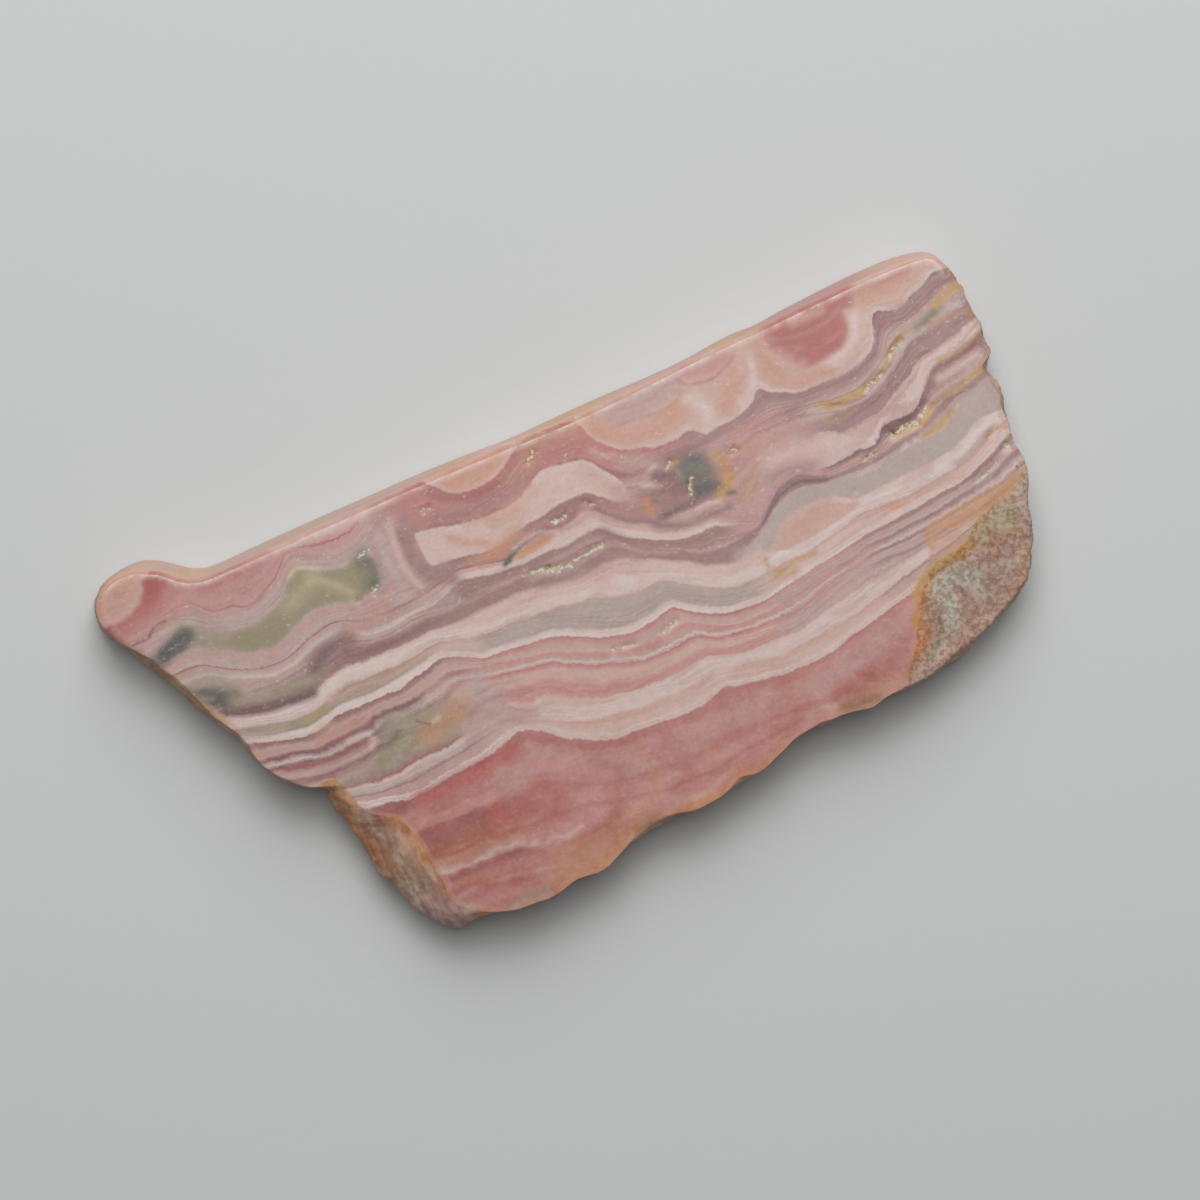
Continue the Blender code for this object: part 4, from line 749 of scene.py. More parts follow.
    ("cream", 0.5, 0.3, 0.4, ((-0.6, -16.3), (1, -16.8), (2.4, -16.8), (3.6, -16.3), (4.6, -16.1))),
    ("orange", 0.6, 0.6, 0.6, ((0, -17.3), (3, -17.3), (5, -16.4), (7, -16.6), (9, -15.9))),
    ("brown", 0.7, 0.3, 0.35, ((-1, -17.5), (0.8, -17.8), (2.4, -17.8))),
    ("cream", 0.7, 0.2, 0.25, ((0.2, -14.4), (0.7, -14.5))),
    # the rind corner
    ("skin_rust", 1.0, 0.7, 0.5, ((26.4, -5.3), (29, -5.2), (32, -4.9), (34.8, -3.8))),
    ("skin_rust", 0.8, 0.5, 0.5, ((27, -4.7), (30, -4.4), (33, -4))),
    ("ochre", 0.9, 0.3, 0.3, ((26.4, -5.3), (26.3, -6.4), (26, -7))),
    ("peach_deep", 0.8, 0.7, 0.5, ((26.6, -6.3), (28.6, -6.2))),
    ("ochre", 1.0, 0.9, 0.35, (
        (23.8, -9.2), (24.8, -8.4), (26.2, -7.8), (28.2, -7.6), (29.6, -7), (31, -6),
    )),
    ("brown", 0.7, 0.35, 0.35, ((25.4, -8.1), (26.8, -8.1), (28.4, -7.9))),
    ("skin_rust", 1.0, 0.8, 0.4, ((24.4, -9), (23.8, -10.2), (22.8, -11.2), (23.2, -12.4), (21.8, -13.6))),
    ("orange", 0.6, 0.5, 0.4, ((22.5, -10.9), (23.1, -11.4))),
    ("brown", 0.6, 0.3, 0.3, ((24.2, -9.3), (23.8, -10.3), (23.9, -11.4), (23.4, -12.6))),
    ("orange", 0.7, 0.25, 0.25, ((24, -9), (23.2, -10.4), (22.6, -11.4), (22.4, -12.4), (21.6, -13.6))),
    ("olive_grey", 0.9, 0.7, 0.5, ((24.6, -10.2), (24.5, -11.6), (24, -13), (22.6, -14.2))),
    ("brown", 0.6, 0.5, 0.5, ((21.4, -14), (20.4, -14.9))),
    ("skin_olive", 0.95, 1.4, 0.7, ((30.2, -7.2), (31.6, -6.4), (33.2, -6.3), (33.4, -7.4))),
    ("ochre", 0.6, 0.5, 0.5, ((30.6, -8), (32, -7.9), (33.2, -7.6))),
    ("brown", 0.5, 0.3, 0.35, ((30.2, -7.6), (30.8, -8))),
    ("skin_green", 0.95, 1.0, 0.6, ((25.6, -9.6), (25.9, -11), (25.6, -12.2))),
    ("skin_green", 0.9, 1.5, 0.9, ((26.6, -9.3), (28.2, -9.6), (28.6, -10.4))),
    ("brown", 0.7, 0.3, 0.3, ((27.1, -10.2), (27.3, -10.9), (27.7, -11.4))),
    ("brown", 0.6, 0.4, 0.4, ((29.6, -8.8), (30.6, -8.9))),
    ("brown", 0.5, 0.35, 0.4, ((29.8, -10), (30.8, -10.4))),
    ("ochre", 0.5, 0.4, 0.4, ((26.8, -12.6), (27.8, -13))),
    ("skin_pink", 0.9, 1.6, 1.1, ((27, -12.4), (29.4, -11.8), (31, -10.4), (32, -9))),
    ("skin_tan", 0.9, 1.0, 0.8, ((23.4, -14.9), (27.2, -13.9), (30, -12.9), (32.6, -10.8), (34, -8))),
    ("skin_grey", 0.9, 0.8, 0.6, ((33.8, -8.2), (34.4, -6.6), (35.2, -4.8))),
    # the slope on the left
    ("skin_rust", 1.0, 0.9, 0.6, ((-25.4, -4.2), (-25.3, -6), (-24.9, -8), (-24.4, -10), (-23.8, -12.2))),
    ("skin_dark", 0.7, 0.35, 0.4, ((-24.1, -8.2), (-23.8, -9.4), (-23.6, -10.4))),
    ("skin_dark", 0.5, 0.3, 0.35, ((-24.4, -11.2), (-23.8, -12.2), (-23.2, -12.8))),
    ("skin_grey", 0.8, 0.7, 0.5, ((-23.7, -7.2), (-23.3, -8.6), (-23, -9.8))),
    ("skin_olive", 0.9, 0.7, 0.6, ((-22.9, -10.4), (-22.4, -12), (-22, -13.4))),
    ("skin_rust", 0.9, 0.5, 0.5, (
        (-22.6, -8.2), (-21.6, -8.8), (-21.1, -9.8), (-20.9, -11.2), (-20.8, -12.8),
    )),
    ("skin_olive", 0.7, 0.6, 0.6, ((-24, -11.4), (-23.2, -13), (-22.4, -14.4))),
    ("skin_pink", 0.9, 1.0, 0.7, ((-21.2, -13.6), (-21.3, -15), (-20.8, -16.4), (-19.4, -17.4))),
    # the mauve rind at the slope's foot, lightened where the foot lies in shade: painted light
    ("skin_mauve_painted_light", 1.0, 1.5, 0.8, ((-22.6, -15.4), (-21.4, -17.2), (-19.8, -18.3))),
)

# Small clear-cut marks: (colour, width, path).
MARKS = (
    ("rose_dark", 0.22, (
        (-35.2, 12.6), (-34.5, 12.75), (-34, 12.6), (-33.5, 13), (-33, 13.35), (-32, 13.4),
    )),
    ("mauve_dark", 0.2, ((-16.95, -2.1), (-16.6, -2.4), (-16.1, -2.75))),
    ("slate", 0.3, ((-5.3, 6.5), (-4.9, 6.65))),
    ("slate", 0.24, ((-2.6, 4.95), (-2.2, 4.9))),
    ("slate", 0.3, ((27.2, 3.35), (27.36, 3.35))),
)

# Pale crust in shallow pits: (width, depth, path).
CRUSTS = (
    (0.4, 0.07, (
        (-3.7, 4.85), (-3.1, 4.85), (-2.6, 4.75), (-2, 4.5), (-1.2, 4.35), (-0.4, 4.35), (0.3, 4.45),
    )),
    (0.3, 0.07, ((0.6, 4.4), (1.2, 4.6), (1.8, 4.65), (2.3, 4.65))),
    (0.26, 0.05, ((-0.5, 8), (0.2, 7.95), (0.7, 8.1))),
    (0.24, 0.05, ((2.4, 8.4), (2.9, 8))),
    (0.2, 0.05, ((-0.3, -3.4), (0, -3.4))),
    (0.2, 0.05, ((0.6, -3.45), (1.5, -3.5))),
    (0.26, 0.05, ((4, -3.7), (4.5, -3.5), (5.3, -3.3))),
    (0.3, 0.08, ((26.7, 7.45), (27.4, 7.7), (28.2, 8.05))),
    (0.3, 0.08, ((29.5, 9.1), (30, 9.5), (30.8, 9.85))),
    (0.5, 0.1, ((27, 3.35), (27.7, 3.3), (28.4, 3.45), (29.2, 3.4))),
    (0.4, 0.08, ((29.8, 3.8), (30.2, 4), (30.6, 4.3))),
    (0.24, 0.06, ((24.4, 2.4), (25, 2.5))),
    (0.26, 0.07, ((31.7, -2.85), (32.6, -2.65), (33.2, -2.45), (33.7, -2.15))),
    (0.35, 0.08, ((34.9, -1.3), (35.3, -1.3))),
    (0.24, 0.05, ((34.2, 0), (34.8, 0.35))),
    (0.24, 0.05, ((-0.4, 13.1), (0, 13.4), (0.4, 13.7))),
    (0.24, 0.05, ((-9.7, 13.1), (-9.1, 13.15))),
    (0.24, 0.05, ((-15.7, 11.8), (-15.1, 11.95), (-14.7, 11.9))),
    (0.24, 0.05, ((-15.9, 8.75), (-15.5, 9.1))),
    (0.24, 0.05, ((-17.3, 8.5), (-17.2, 8.7))),
    (0.24, 0.05, ((9.6, 8.3), (10, 8.5))),
    (0.22, 0.05, ((10.5, 5.6), (10.8, 6.3), (11.05, 6.8))),
    (0.3, 0.06, ((14.7, 7.2), (15.2, 7.3))),
    (0.2, 0.04, ((22.6, 0.35), (22.75, 0.4))),
)
PIT = (Vector((27.28, 3.35)), 0.16, 0.5)  # the one open hole: middle, radius, depth

# The layers seen edge on along the sawn side: (x, colour).
SAWN_SIDE = (
    (-36.0, "peach_deep"), (-33.5, "saw_tan"), (-31.0, "peach"), (-29.0, "saw_peach"),
    (-26.5, "saw_tan"), (-24.0, "saw_peach"), (-11.0, "saw_peach"), (-7.0, "saw_pink"),
    (-4.0, "saw_tan"), (0.0, "blush"), (4.0, "saw_tan"), (9.0, "saw_tan"), (12.0, "saw_pink"),
    (17.0, "saw_pink"), (20.0, "saw_tan"), (24.0, "flesh"), (30.0, "heather"), (34.0, "peach"),
    (40.0, "blush"),
)


# The stone's three surfaces, in the order of their slots.
MATERIALS = (
    # Ground flat and buffed: a soft satin gloss, with every layer clear, and a painted highlight pale along
    # the sawn rim.
    ("polished banded rhodochrosite", "polished"),
    # Snapped off and weathered: matt and lumpy, with rust soaked in and a grainy rind.
    ("broken and weathered rhodochrosite", "broken"),
    # Left as the blade cut it: dull, with a fine even drag.
    ("sawn banded rhodochrosite", "sawn"),
)
BROKEN, SAWN = 1, 2


def linear(colour):
    """A "#rrggbb" sRGB colour as linear RGBA."""
    channels = [int(colour[i:i + 2], 16) / 255 for i in (1, 3, 5)]
    return tuple(c / 12.92 if c <= 0.04045 else ((c + 0.055) / 1.055) ** 2.4 for c in channels) + (1.0,)


def smooth_path(points, closed=False, step=0.3):
    """The points joined by a centripetal curve, as an array with a point about every step."""
    points = np.array(points, float)
    count = len(points)
    if count < 3:
        return points
    made = []
    for i in range(count if closed else count - 1):
        a, b = points[i], points[(i + 1) % count]
        before = points[i - 1] if closed or i else 2 * a - b
        after = points[(i + 2) % count] if closed or i + 2 < count else 2 * b - a
        k1 = max(np.linalg.norm(a - before), 1e-6) ** 0.5
        k2 = k1 + max(np.linalg.norm(b - a), 1e-6) ** 0.5
        k3 = k2 + max(np.linalg.norm(after - b), 1e-6) ** 0.5
        t = np.linspace(k1, k2, max(2, int(np.linalg.norm(b - a) / step) + 1), endpoint=False)[:, None]
        a1 = before + (a - before) * t / k1
        a2 = a + (b - a) * (t - k1) / (k2 - k1)
        a3 = b + (after - b) * (t - k2) / (k3 - k2)
        b1 = a1 + (a2 - a1) * t / k2
        b2 = a2 + (a3 - a2) * (t - k1) / (k3 - k1)
        made.append(b1 + (b2 - b1) * (t - k1) / (k2 - k1))
    if not closed:
        made.append(points[-1:])
    return np.concatenate(made)


def near(x, y, path, margin):
    """Which points lie in the path's box, widened by margin."""
    low = path.min(axis=0) - margin
    high = path.max(axis=0) + margin
    return np.nonzero((x > low[0]) & (x < high[0]) & (y > low[1]) & (y < high[1]))[0]


def distance_to(x, y, path, closed=False):
    """The distance of each point from a path."""
    best = np.full(len(x), 1e9)
    ends = np.roll(path, -1, axis=0) if closed else path[1:]
    for (ax, ay), (bx, by) in zip(path, ends):
        dx, dy = bx - ax, by - ay
        length = max(dx * dx + dy * dy, 1e-12)
        t = np.clip(((x - ax) * dx + (y - ay) * dy) / length, 0.0, 1.0)
        np.minimum(best, (x - ax - t * dx) ** 2 + (y - ay - t * dy) ** 2, out=best)
    return np.sqrt(best)


def inside(x, y, outline):
    """Which points lie inside a closed outline."""
    crossings = np.zeros(len(x), int)
    for (ax, ay), (bx, by) in zip(outline, np.roll(outline, -1, axis=0)):
        if ay != by:
            spans = (ay > y) != (by > y)
            crossings += spans & (x < ax + (y - ay) * (bx - ax) / (by - ay))
    return crossings % 2 == 1


def depth_in(x, y, outline):
    """How deep each point lies inside a closed outline. It is negative outside."""
    depth = distance_to(x, y, outline, closed=True)
    return np.where(inside(x, y, outline), depth, -depth)


def growth_at(x, y):
    """Each point's height in the growth log."""
    heights = [height for height, _ in GROWTH_LINES]
    dense = np.arange(-REACH, REACH, SPACING)
    offsets = np.arange(-SOFTENING_SAMPLES, SOFTENING_SAMPLES + 1) * SPACING
    kernel = np.exp(-0.5 * (offsets / SOFTENING) ** 2)
    kernel /= kernel.sum()
    levels = []
    for _, points in GROWTH_LINES:
        line = np.interp(dense, *zip(*points))
        line = np.convolve(np.pad(line, SOFTENING_SAMPLES, mode="edge"), kernel, mode="valid")
        levels.append(np.interp(x, dense, line))
    growth = np.full(len(x), heights[0])
    for i in range(len(levels) - 1):
        low = levels[i]
        high = np.maximum(levels[i + 1], low + THINNEST)
        levels[i + 1] = high
        growth += np.clip((y - low) / (high - low), 0.0, 1.0) * (heights[i + 1] - heights[i])
    return growth


def blend_in(colours, where, colour, cover):
    """Lays a colour over some of the colours. Cover is a number from 0 to 1 for each."""
    cover = np.clip(cover, 0.0, 1.0)[:, None]
    colours[where, :3] += (np.asarray(colour)[..., :3] - colours[where, :3]) * cover


def painted_bodies(x, y):
    """The colour of the crystal bodies at each point, and how surely it lies in one."""
    colours = np.zeros((len(x), 4))
    colours[:, :3] = linear(STONE["flesh"])[:3]
    for edge, core, width, outline in BODIES:
        path = smooth_path(outline, closed=True)
        where = near(x, y, path, EDGE)
        depth = depth_in(x[where], y[where], path)
        share = np.clip(depth / width, 0.0, 1.0)[:, None]
        colour = np.array(linear(STONE[edge])) * (1 - share) + np.array(linear(STONE[core])) * share
        cover = np.clip(0.5 + depth / (2 * EDGE), 0.0, 1.0)
        bare = colours[where, 3] < 0.5
        blend_in(colours, where, colour, np.where(bare, cover > 0, 0.5 + depth / 0.35))
        colours[where, 3] = np.maximum(colours[where, 3], cover)
    return colours


def painted_stains(x, y):
    """The colour of the soft stains at each point, and how strong it is."""
    colours = np.zeros((len(x), 4))
    colours[:, :3] = linear(STONE["peach"])[:3]
    for name, strength, width, softness, points in STAINS:
        path = smooth_path(points)
        where = near(x, y, path, width + softness * 2)
        away = distance_to(x[where], y[where], path)
        cover = np.clip((width / 2 + softness - away) / (2 * softness), 0.0, 1.0)
        cover = cover * cover * (3 - 2 * cover) * strength
        alpha = colours[where, 3]
        total = cover + alpha * (1 - cover)
        weight = np.where(total > 1e-6, cover / np.maximum(total, 1e-6), 0)
        blend_in(colours, where, linear(STONE[name]), weight)
        colours[where, 3] = total
    return colours


def painted_marks(x, y):
    """The colour of the small marks at each point, and how surely it lies in one."""
    colours = np.zeros((len(x), 4))
    colours[:, :3] = linear(STONE["mauve"])[:3]
    for name, width, points in MARKS:
        path = smooth_path(points)
        where = near(x, y, path, width + EDGE)
        cover = 0.5 + (width / 2 - distance_to(x[where], y[where], path)) / (2 * EDGE)
        blend_in(colours, where, linear(STONE[name]), (cover > colours[where, 3]) * 1.0)
        colours[where, 3] = np.maximum(colours[where, 3], np.clip(cover, 0, 1))
    return colours


def crust_at(x, y):
    """How much crust lies at each point, stored as a clear-cut edge, and how deep its pit is."""
    cover = np.zeros(len(x))
    pit = np.zeros(len(x))
    for width, depth, points in CRUSTS:
        path = smooth_path(points)
        where = near(x, y, path, width + EDGE)
        away = distance_to(x[where], y[where], path)
        cover[where] = np.maximum(cover[where], 0.5 + (width / 2 - away) / (2 * EDGE))
        pit[where] = np.maximum(pit[where], depth * np.clip(1.3 - away / width, 0.0, 1.0))
    middle, radius, depth = PIT
    away = np.hypot(x - middle.x, y - middle.y)
    pit = np.maximum(pit, depth * np.clip(1.6 - away / radius, 0.0, 1.0))
    return np.clip(cover, 0.0, 1.0), pit


def cap_points(loop, step):
    """Points of a triangular grid inside a loop's box, kept clear of the loop."""
    tree = kdtree.KDTree(len(loop))
    for i, vert in enumerate(loop):
        tree.insert((vert.co.x, vert.co.y, 0.0), i)
    tree.balance()
    xs = [v.co.x for v in loop]
    ys = [v.co.y for v in loop]
    points = []
    row = 0
    y = min(ys)
    while y < max(ys):
        x = min(xs) + (row % 2) * step / 2
        while x < max(xs):
            if tree.find((x, y, 0.0))[2] > step * NET_CLEAR:
                points.append(Vector((x, y)))
            x += step
        y += step * NET_ROW
        row += 1
    return points


def ordered_loop(edges):
    """The vertices of a ring of edges, in order."""
    start = edges[0].verts[0]
    ring = [start]
    ring_edges = set(edges)
    edge = edges[0]
    vert = edge.other_vert(start)
    while vert is not start:
        ring.append(vert)
        edge = next(e for e in vert.link_edges if e in ring_edges and e is not edge)
        vert = edge.other_vert(vert)
    return ring


def fill_cap(bm, loop, height, step, up):
    """Closes a loop with a fine, even net of triangles at one height."""
    count = len(loop)
    outline = [Vector((v.co.x, v.co.y)) for v in loop]
    points = cap_points(loop, step)
    ring = [(i, (i + 1) % count) for i in range(count)]
    coords, _, faces, originals, _, _ = delaunay_2d_cdt(outline + points, ring, [], 1, 1e-7)
    verts = {}
    for face in faces:
        corners = []
        for i in face:
            if i not in verts:
                source = originals[i][0] if originals[i] else -1
                if 0 <= source < count:
                    verts[i] = loop[source]
                else:
                    verts[i] = bm.verts.new((coords[i].x, coords[i].y, height))
            corners.append(verts[i])
        if len(set(corners)) == 3:
            made = bm.faces.new(corners if up else corners[::-1])
            made.smooth = True


def sawn_at(x, y):
    """How much each point belongs to the long sawn side, from 0 to 1."""
    along = np.clip((x - KNOB_TIP) / KNOB_FADE, 0, 1)
    return np.clip((y - SAWN_FROM) / SAWN_FADE, 0, 1) * along


def knob_at(x, y):
    """How much each point belongs to the knob's end, from 0 to 1."""
    return np.clip((y - KNOB_FROM.y) / 2, 0, 1) * np.clip(KNOB_FROM.x - x, 0, 1)


def triangulate(bm):
    """Cuts every face into triangles, and drops the pairs on the same corners that slivers leave."""
    bmesh.ops.triangulate(bm, faces=bm.faces)
    faces_on = {}
    for face in bm.faces:
        faces_on.setdefault(frozenset(face.verts), []).append(face)
    pairs = [face for faces in faces_on.values() if len(faces) > 1 for face in faces]
    bmesh.ops.delete(bm, geom=pairs, context="FACES")


def fine_wall(bm):
    """Cuts the rim's facets finer, and rounds the broken sides over as tumbling did."""
    bmesh.ops.subdivide_edges(bm, edges=bm.edges, cuts=3, use_grid_fill=True)
    triangulate(bm)
    height = THICKNESS * MM
    for vert in bm.verts:
        fall = 1 - vert.co.z / height
        rounded = height * math.sqrt(max(1 - fall * fall, 0.0))
        x, y = vert.co.x / MM, vert.co.y / MM
        sawn = float(sawn_at(x, y))
        knob = float(knob_at(x, y)) * (1 - sawn)
        vert.co.x -= KNOB_EDGE * MM * knob * vert.co.z / height
        vert.co.y += SAWN_EDGE * MM * sawn * vert.co.z / height
        vert.co.z += (rounded - vert.co.z) * (1 - max(sawn, knob))
    longest = FACET * FACET_SLACK * MM
    for _ in range(CUTS):
        long_edges = [e for e in bm.edges if e.calc_length() > longest]
        if long_edges:
            bmesh.ops.subdivide_edges(bm, edges=long_edges, cuts=1)
            triangulate(bm)
    rim = [v for v in bm.verts if not v.is_boundary]
    for _ in range(SMOOTHINGS):
        bmesh.ops.smooth_vert(bm, verts=rim, factor=0.5, use_axis_x=True, use_axis_y=True, use_axis_z=True)


def roughen_wall(bm, box, relief):
    """Gives the broken sides, the rind and the slope their lumps and steps."""
    low, high = box
    bm.normal_update()
    verts = list(bm.verts)
    x = np.array([v.co.x for v in verts]) / MM
    y = np.array([v.co.y for v in verts]) / MM
    rind, slope = (
        np.clip(0.5 + depth_in(x, y, smooth_path(outline, closed=True)) / SKIN_FADE, 0, 1)
        for outline in (RIND, LEFT_SLOPE)
    )
    sawn = sawn_at(x, y)
    for i, vert in enumerate(verts):
        point = vert.co / MM
        depth = THICKNESS - point.z
        rough = (1 - sawn[i]) * min(1.0, depth / TOP_FADE) * min(1.0, point.z / FOOT_FADE)
        lumps = noise.fractal(point * LUMPS, 1.0, 2.0, 3) * LUMP_HEIGHT
        steps = abs(noise.noise(point * STEPS)) * STEP_HEIGHT * (1 - 0.5 * max(rind[i], slope[i]))
        grain = noise.noise(point * GRAINS) * (GRAIN_HEIGHT + RIND_GRAIN_HEIGHT * rind[i])
        saw = noise.noise(point * SAW_MARKS) * SAW_MARK_HEIGHT * sawn[i]
        lift = (rough * (lumps - steps + grain) * relief + saw) * MM
        direction = vert.normal.copy()
        if vert.is_boundary:
            direction.z = 0.0
        vert.co += direction * lift
        for axis in range(3):
            vert.co[axis] = min(max(vert.co[axis], low[axis]), high[axis])


def add_number(mesh, name, values):
    """Stores a number at each vertex."""
    attribute = mesh.attributes.new(name, "FLOAT", "POINT")
    attribute.data.foreach_set("value", values.astype(np.float32))


def add_colour(mesh, name, values):
    """Stores a colour at each vertex."""
    attribute = mesh.attributes.new(name, "FLOAT_COLOR", "POINT")
    attribute.data.foreach_set("color", values.astype(np.float32).ravel())


def near_rim(x, y, rim):
    """How near each point lies to the sawn rim of the polished face, from 0 to 1, which sets where the
    painted highlight lies.
    """
    tree = kdtree.KDTree(len(rim))
    for i, point in enumerate(rim):
        tree.insert(point, i)
    tree.balance()
    away = np.array([tree.find((px, py, 0.0))[2] for px, py in zip(x, y)])
    return np.clip(1 - away / RIM_HIGHLIGHT_WIDTH, 0, 1) * sawn_at(x, y + RIM_HIGHLIGHT_WIDTH)


def store_banding(mesh, dip, rim):
    """Stores, at each vertex, where it lies in the growth of the vein and what else colours it."""
    co = np.empty(len(mesh.vertices) * 3)
    mesh.vertices.foreach_get("co", co)
    x, y, z = co.reshape(-1, 3).T / MM
    below = THICKNESS - z
    bx = x + below * 0.5 * dip
    by = y + below * dip
    crust, _ = crust_at(x, y)
    add_number(mesh, "growth", growth_at(bx, by))
    add_number(mesh, "crust", crust * np.clip(1 - below / 0.8, 0, 1))
    add_number(mesh, "below", below)
    add_number(mesh, "rim", near_rim(x, y, rim))
    for name, outline in (("rind", RIND), ("slope", LEFT_SLOPE)):
        depth = depth_in(x, y, smooth_path(outline, closed=True))
        add_number(mesh, name, np.clip(0.5 + depth / (2 * EDGE), 0, 1))
    add_colour(mesh, "bodies", painted_bodies(bx, by))
    add_colour(mesh, "stains", painted_stains(bx, by))
    add_colour(mesh, "marks", painted_marks(bx, by))


def add_node(tree, kind, inputs=(), output=0, **settings):
    """Adds a node with its settings and links, and gives one of its outputs.

    Each input is a value, or the output of another node that it is linked to.
    """
    node = tree.nodes.new("ShaderNode" + kind)
    for name, value in settings.items():
        setattr(node, name, value)
    for key, value in inputs.items() if isinstance(inputs, dict) else enumerate(inputs):
        if isinstance(value, bpy.types.NodeSocket):
            tree.links.new(value, node.inputs[key])
        else:
            node.inputs[key].default_value = value
    return node.outputs[output]


# How the layers run, in millimetres.
WAVER = 0.5  # how far they rise and fall
TEETH = 0.32  # height of the crystal teeth on their edges
DRIFT = 3.0  # how far the change from one cut of the log to the next wanders
FOOT_TOP = (-10.3, -9.9)  # heights where the crimson crystal at the foot gives way

# The fine laminae: their phase for each millimetre of growth, how far it swells, and their strength.
LAMINA_RATE, LAMINA_SWELL, LAMINA_DEPTH = 5.0, 38.0, 0.24

STONE_IOR = 1.6  # rhodochrosite bends light by 1.6 one way and 1.8 the other
FINISHES = {"polished": (0.34, 0.04), "sawn": (0.55, 0.25), "broken": (0.7, 0.2)}  # roughness, relief
RELIEF_DEPTH = 0.15  # of the grain, in millimetres
FIBRE = 1.1  # mm. Paper fibres are 0.03 mm wide, so bundles of them are drawn, coarse enough to show
CARD_ROUGHNESS = 0.85
COLOURS = {"output": 2, "data_type": "RGBA"}  # makes a Mix node mix its colour inputs, 6 and 7
SMOOTH = {"interpolation_type": "SMOOTHSTEP"}

# Noise in the stone: what it runs along, its size in mm, detail and roughness. "stone" runs
# through the solid, and so does "sides", which only the broken sides have. "layers" runs along
# and up the layers. The grain is drawn coarser than it is: its crystals are 0.05 mm across, too
# fine to show.
NOISES = {
    "waver": ("stone", (2.0, 2.0, 2.0), 2.0, 0.5),
    "teeth": ("stone", (0.36, 0.7, 0.7), 1.6, 0.55),
    "patches": ("stone", (1.5, 0.9, 0.9), 3.0, 0.6),
    "swell": ("layers", (12.0, 1.1, 1.0), 2.0, 0.5),
    "fade": ("layers", (8.0, 2.0, 1.0), 2.0, 0.5),
    "columns": ("layers", (0.4, 3.0, 1.0), 3.0, 0.5),
    "cloud": ("stone", (2.4, 1.8, 1.8), 5.0, 0.62),
    "mottle": ("stone", (0.9, 0.7, 0.7), 3.0, 0.6),
    "specks": ("stone", (0.36, 0.3, 0.3), 2.5, 0.65),
    "grain": ("stone", (0.17, 0.17, 0.17), 3.0, 0.7),
    "crumbs": ("stone", (0.3, 0.3, 0.3), 3.0, 0.5),
    "blotches": ("sides", (1.7, 1.7, 1.7), 4.0, 0.6),
    "lumps": ("sides", (0.42, 0.42, 0.42), 4.0, 0.65),
    "streaks": ("sides", (0.6, 2.0, 1.0), 4.0, 0.6),
    "saw": ("sides", (16.0, 2.0, 0.4), 3.0, 0.5),
}


def filled_ramp(output, stops):
    """Gives a colour ramp its (place, colour name) stops."""
    elements = output.node.color_ramp.elements
    elements.remove(elements[-1])
    for i, (place, name) in enumerate(stops):
        element = elements[0] if i == 0 else elements.new(place)
        element.position = place
        element.color = linear(STONE[name])
    return output


def log_colour(node, growth, cut):
    """The growth log of one cut. It takes several ramps, since a ramp holds 32 colours."""
    edges = (GROWTH_LOG[0][0], *LOG_SPLITS, GROWTH_LOG[-1][0])
    colour = None
    for low, high in zip(edges, edges[1:]):
        rows = [row for row in GROWTH_LOG if low - 0.6 <= row[0] <= high + 0.6]
        stops = [(min(max((row[0] - low) / (high - low), 0.0), 1.0), row[1 + cut]) for row in rows]
        place = node("MapRange", (growth, low, high, 0.0, 1.0))
        above = filled_ramp(node("ValToRGB", (place,)), stops)
        if colour:
            share = node("Math", (growth, low), operation="GREATER_THAN")
            above = node("Mix", {0: share, 6: colour, 7: above}, **COLOURS)
        colour = above
    return colour


def noises_in(node, space, vector):
    """The noises that run in one space, by name."""
    made = {}
    for kind, (runs_in, size, detail, roughness) in NOISES.items():
        if runs_in == space:
            place = node("VectorMath", (vector, size), operation="DIVIDE")
            values = {"Vector": place, "Scale": 1.0, "Detail": detail, "Roughness": roughness}
            made[kind] = node("TexNoise", values)
    return made


def grown_layers(node, noises, across, growth):
    """The colour of the layers. Along the slice, each cut of the log gives way to the next."""
    drift = node("Math", (noises["waver"], DRIFT, across), operation="MULTIPLY_ADD")
    colour = log_colour(node, growth, 0)
    for cut, (middle, half) in enumerate(LOG_BLENDS, start=1):
        middle += DRIFT / 2
        share = node("MapRange", (drift, middle - half, middle + half, 0.0, 1.0), **SMOOTH)
        colour = node("Mix", {0: share, 6: colour, 7: log_colour(node, growth, cut)}, **COLOURS)
    return colour


def lay_bodies(node, noises, colour):
    """Lays bodies, stains and marks over the layers, and says how much of the banding still shows.

    Bodies and marks keep clear edges, roughened by crystal teeth. Stains are soft, and patchy.
    """
    patches = node("MapRange", (noises["patches"], 0.3, 0.6, 0.85, 1.25))
    for kind in ("bodies", "stains", "marks"):
        cover = node("Attribute", output="Alpha", attribute_name=kind)
        if kind == "stains":
            cover = node("Math", (cover, patches), operation="MULTIPLY", use_clamp=True)
        else:
            cover = node("Math", (noises["teeth"], 0.3, cover), operation="MULTIPLY_ADD")
            cover = node("MapRange", (cover, 0.52, 0.78, 0.0, 1.0), **SMOOTH)
        if kind == "bodies":
            banded = node("MapRange", (cover, 0.0, 1.0, 1.0, 0.3))
        paint = node("Attribute", output="Color", attribute_name=kind)
        colour = node("Mix", {0: cover, 6: colour, 7: paint}, **COLOURS)
    return colour, banded


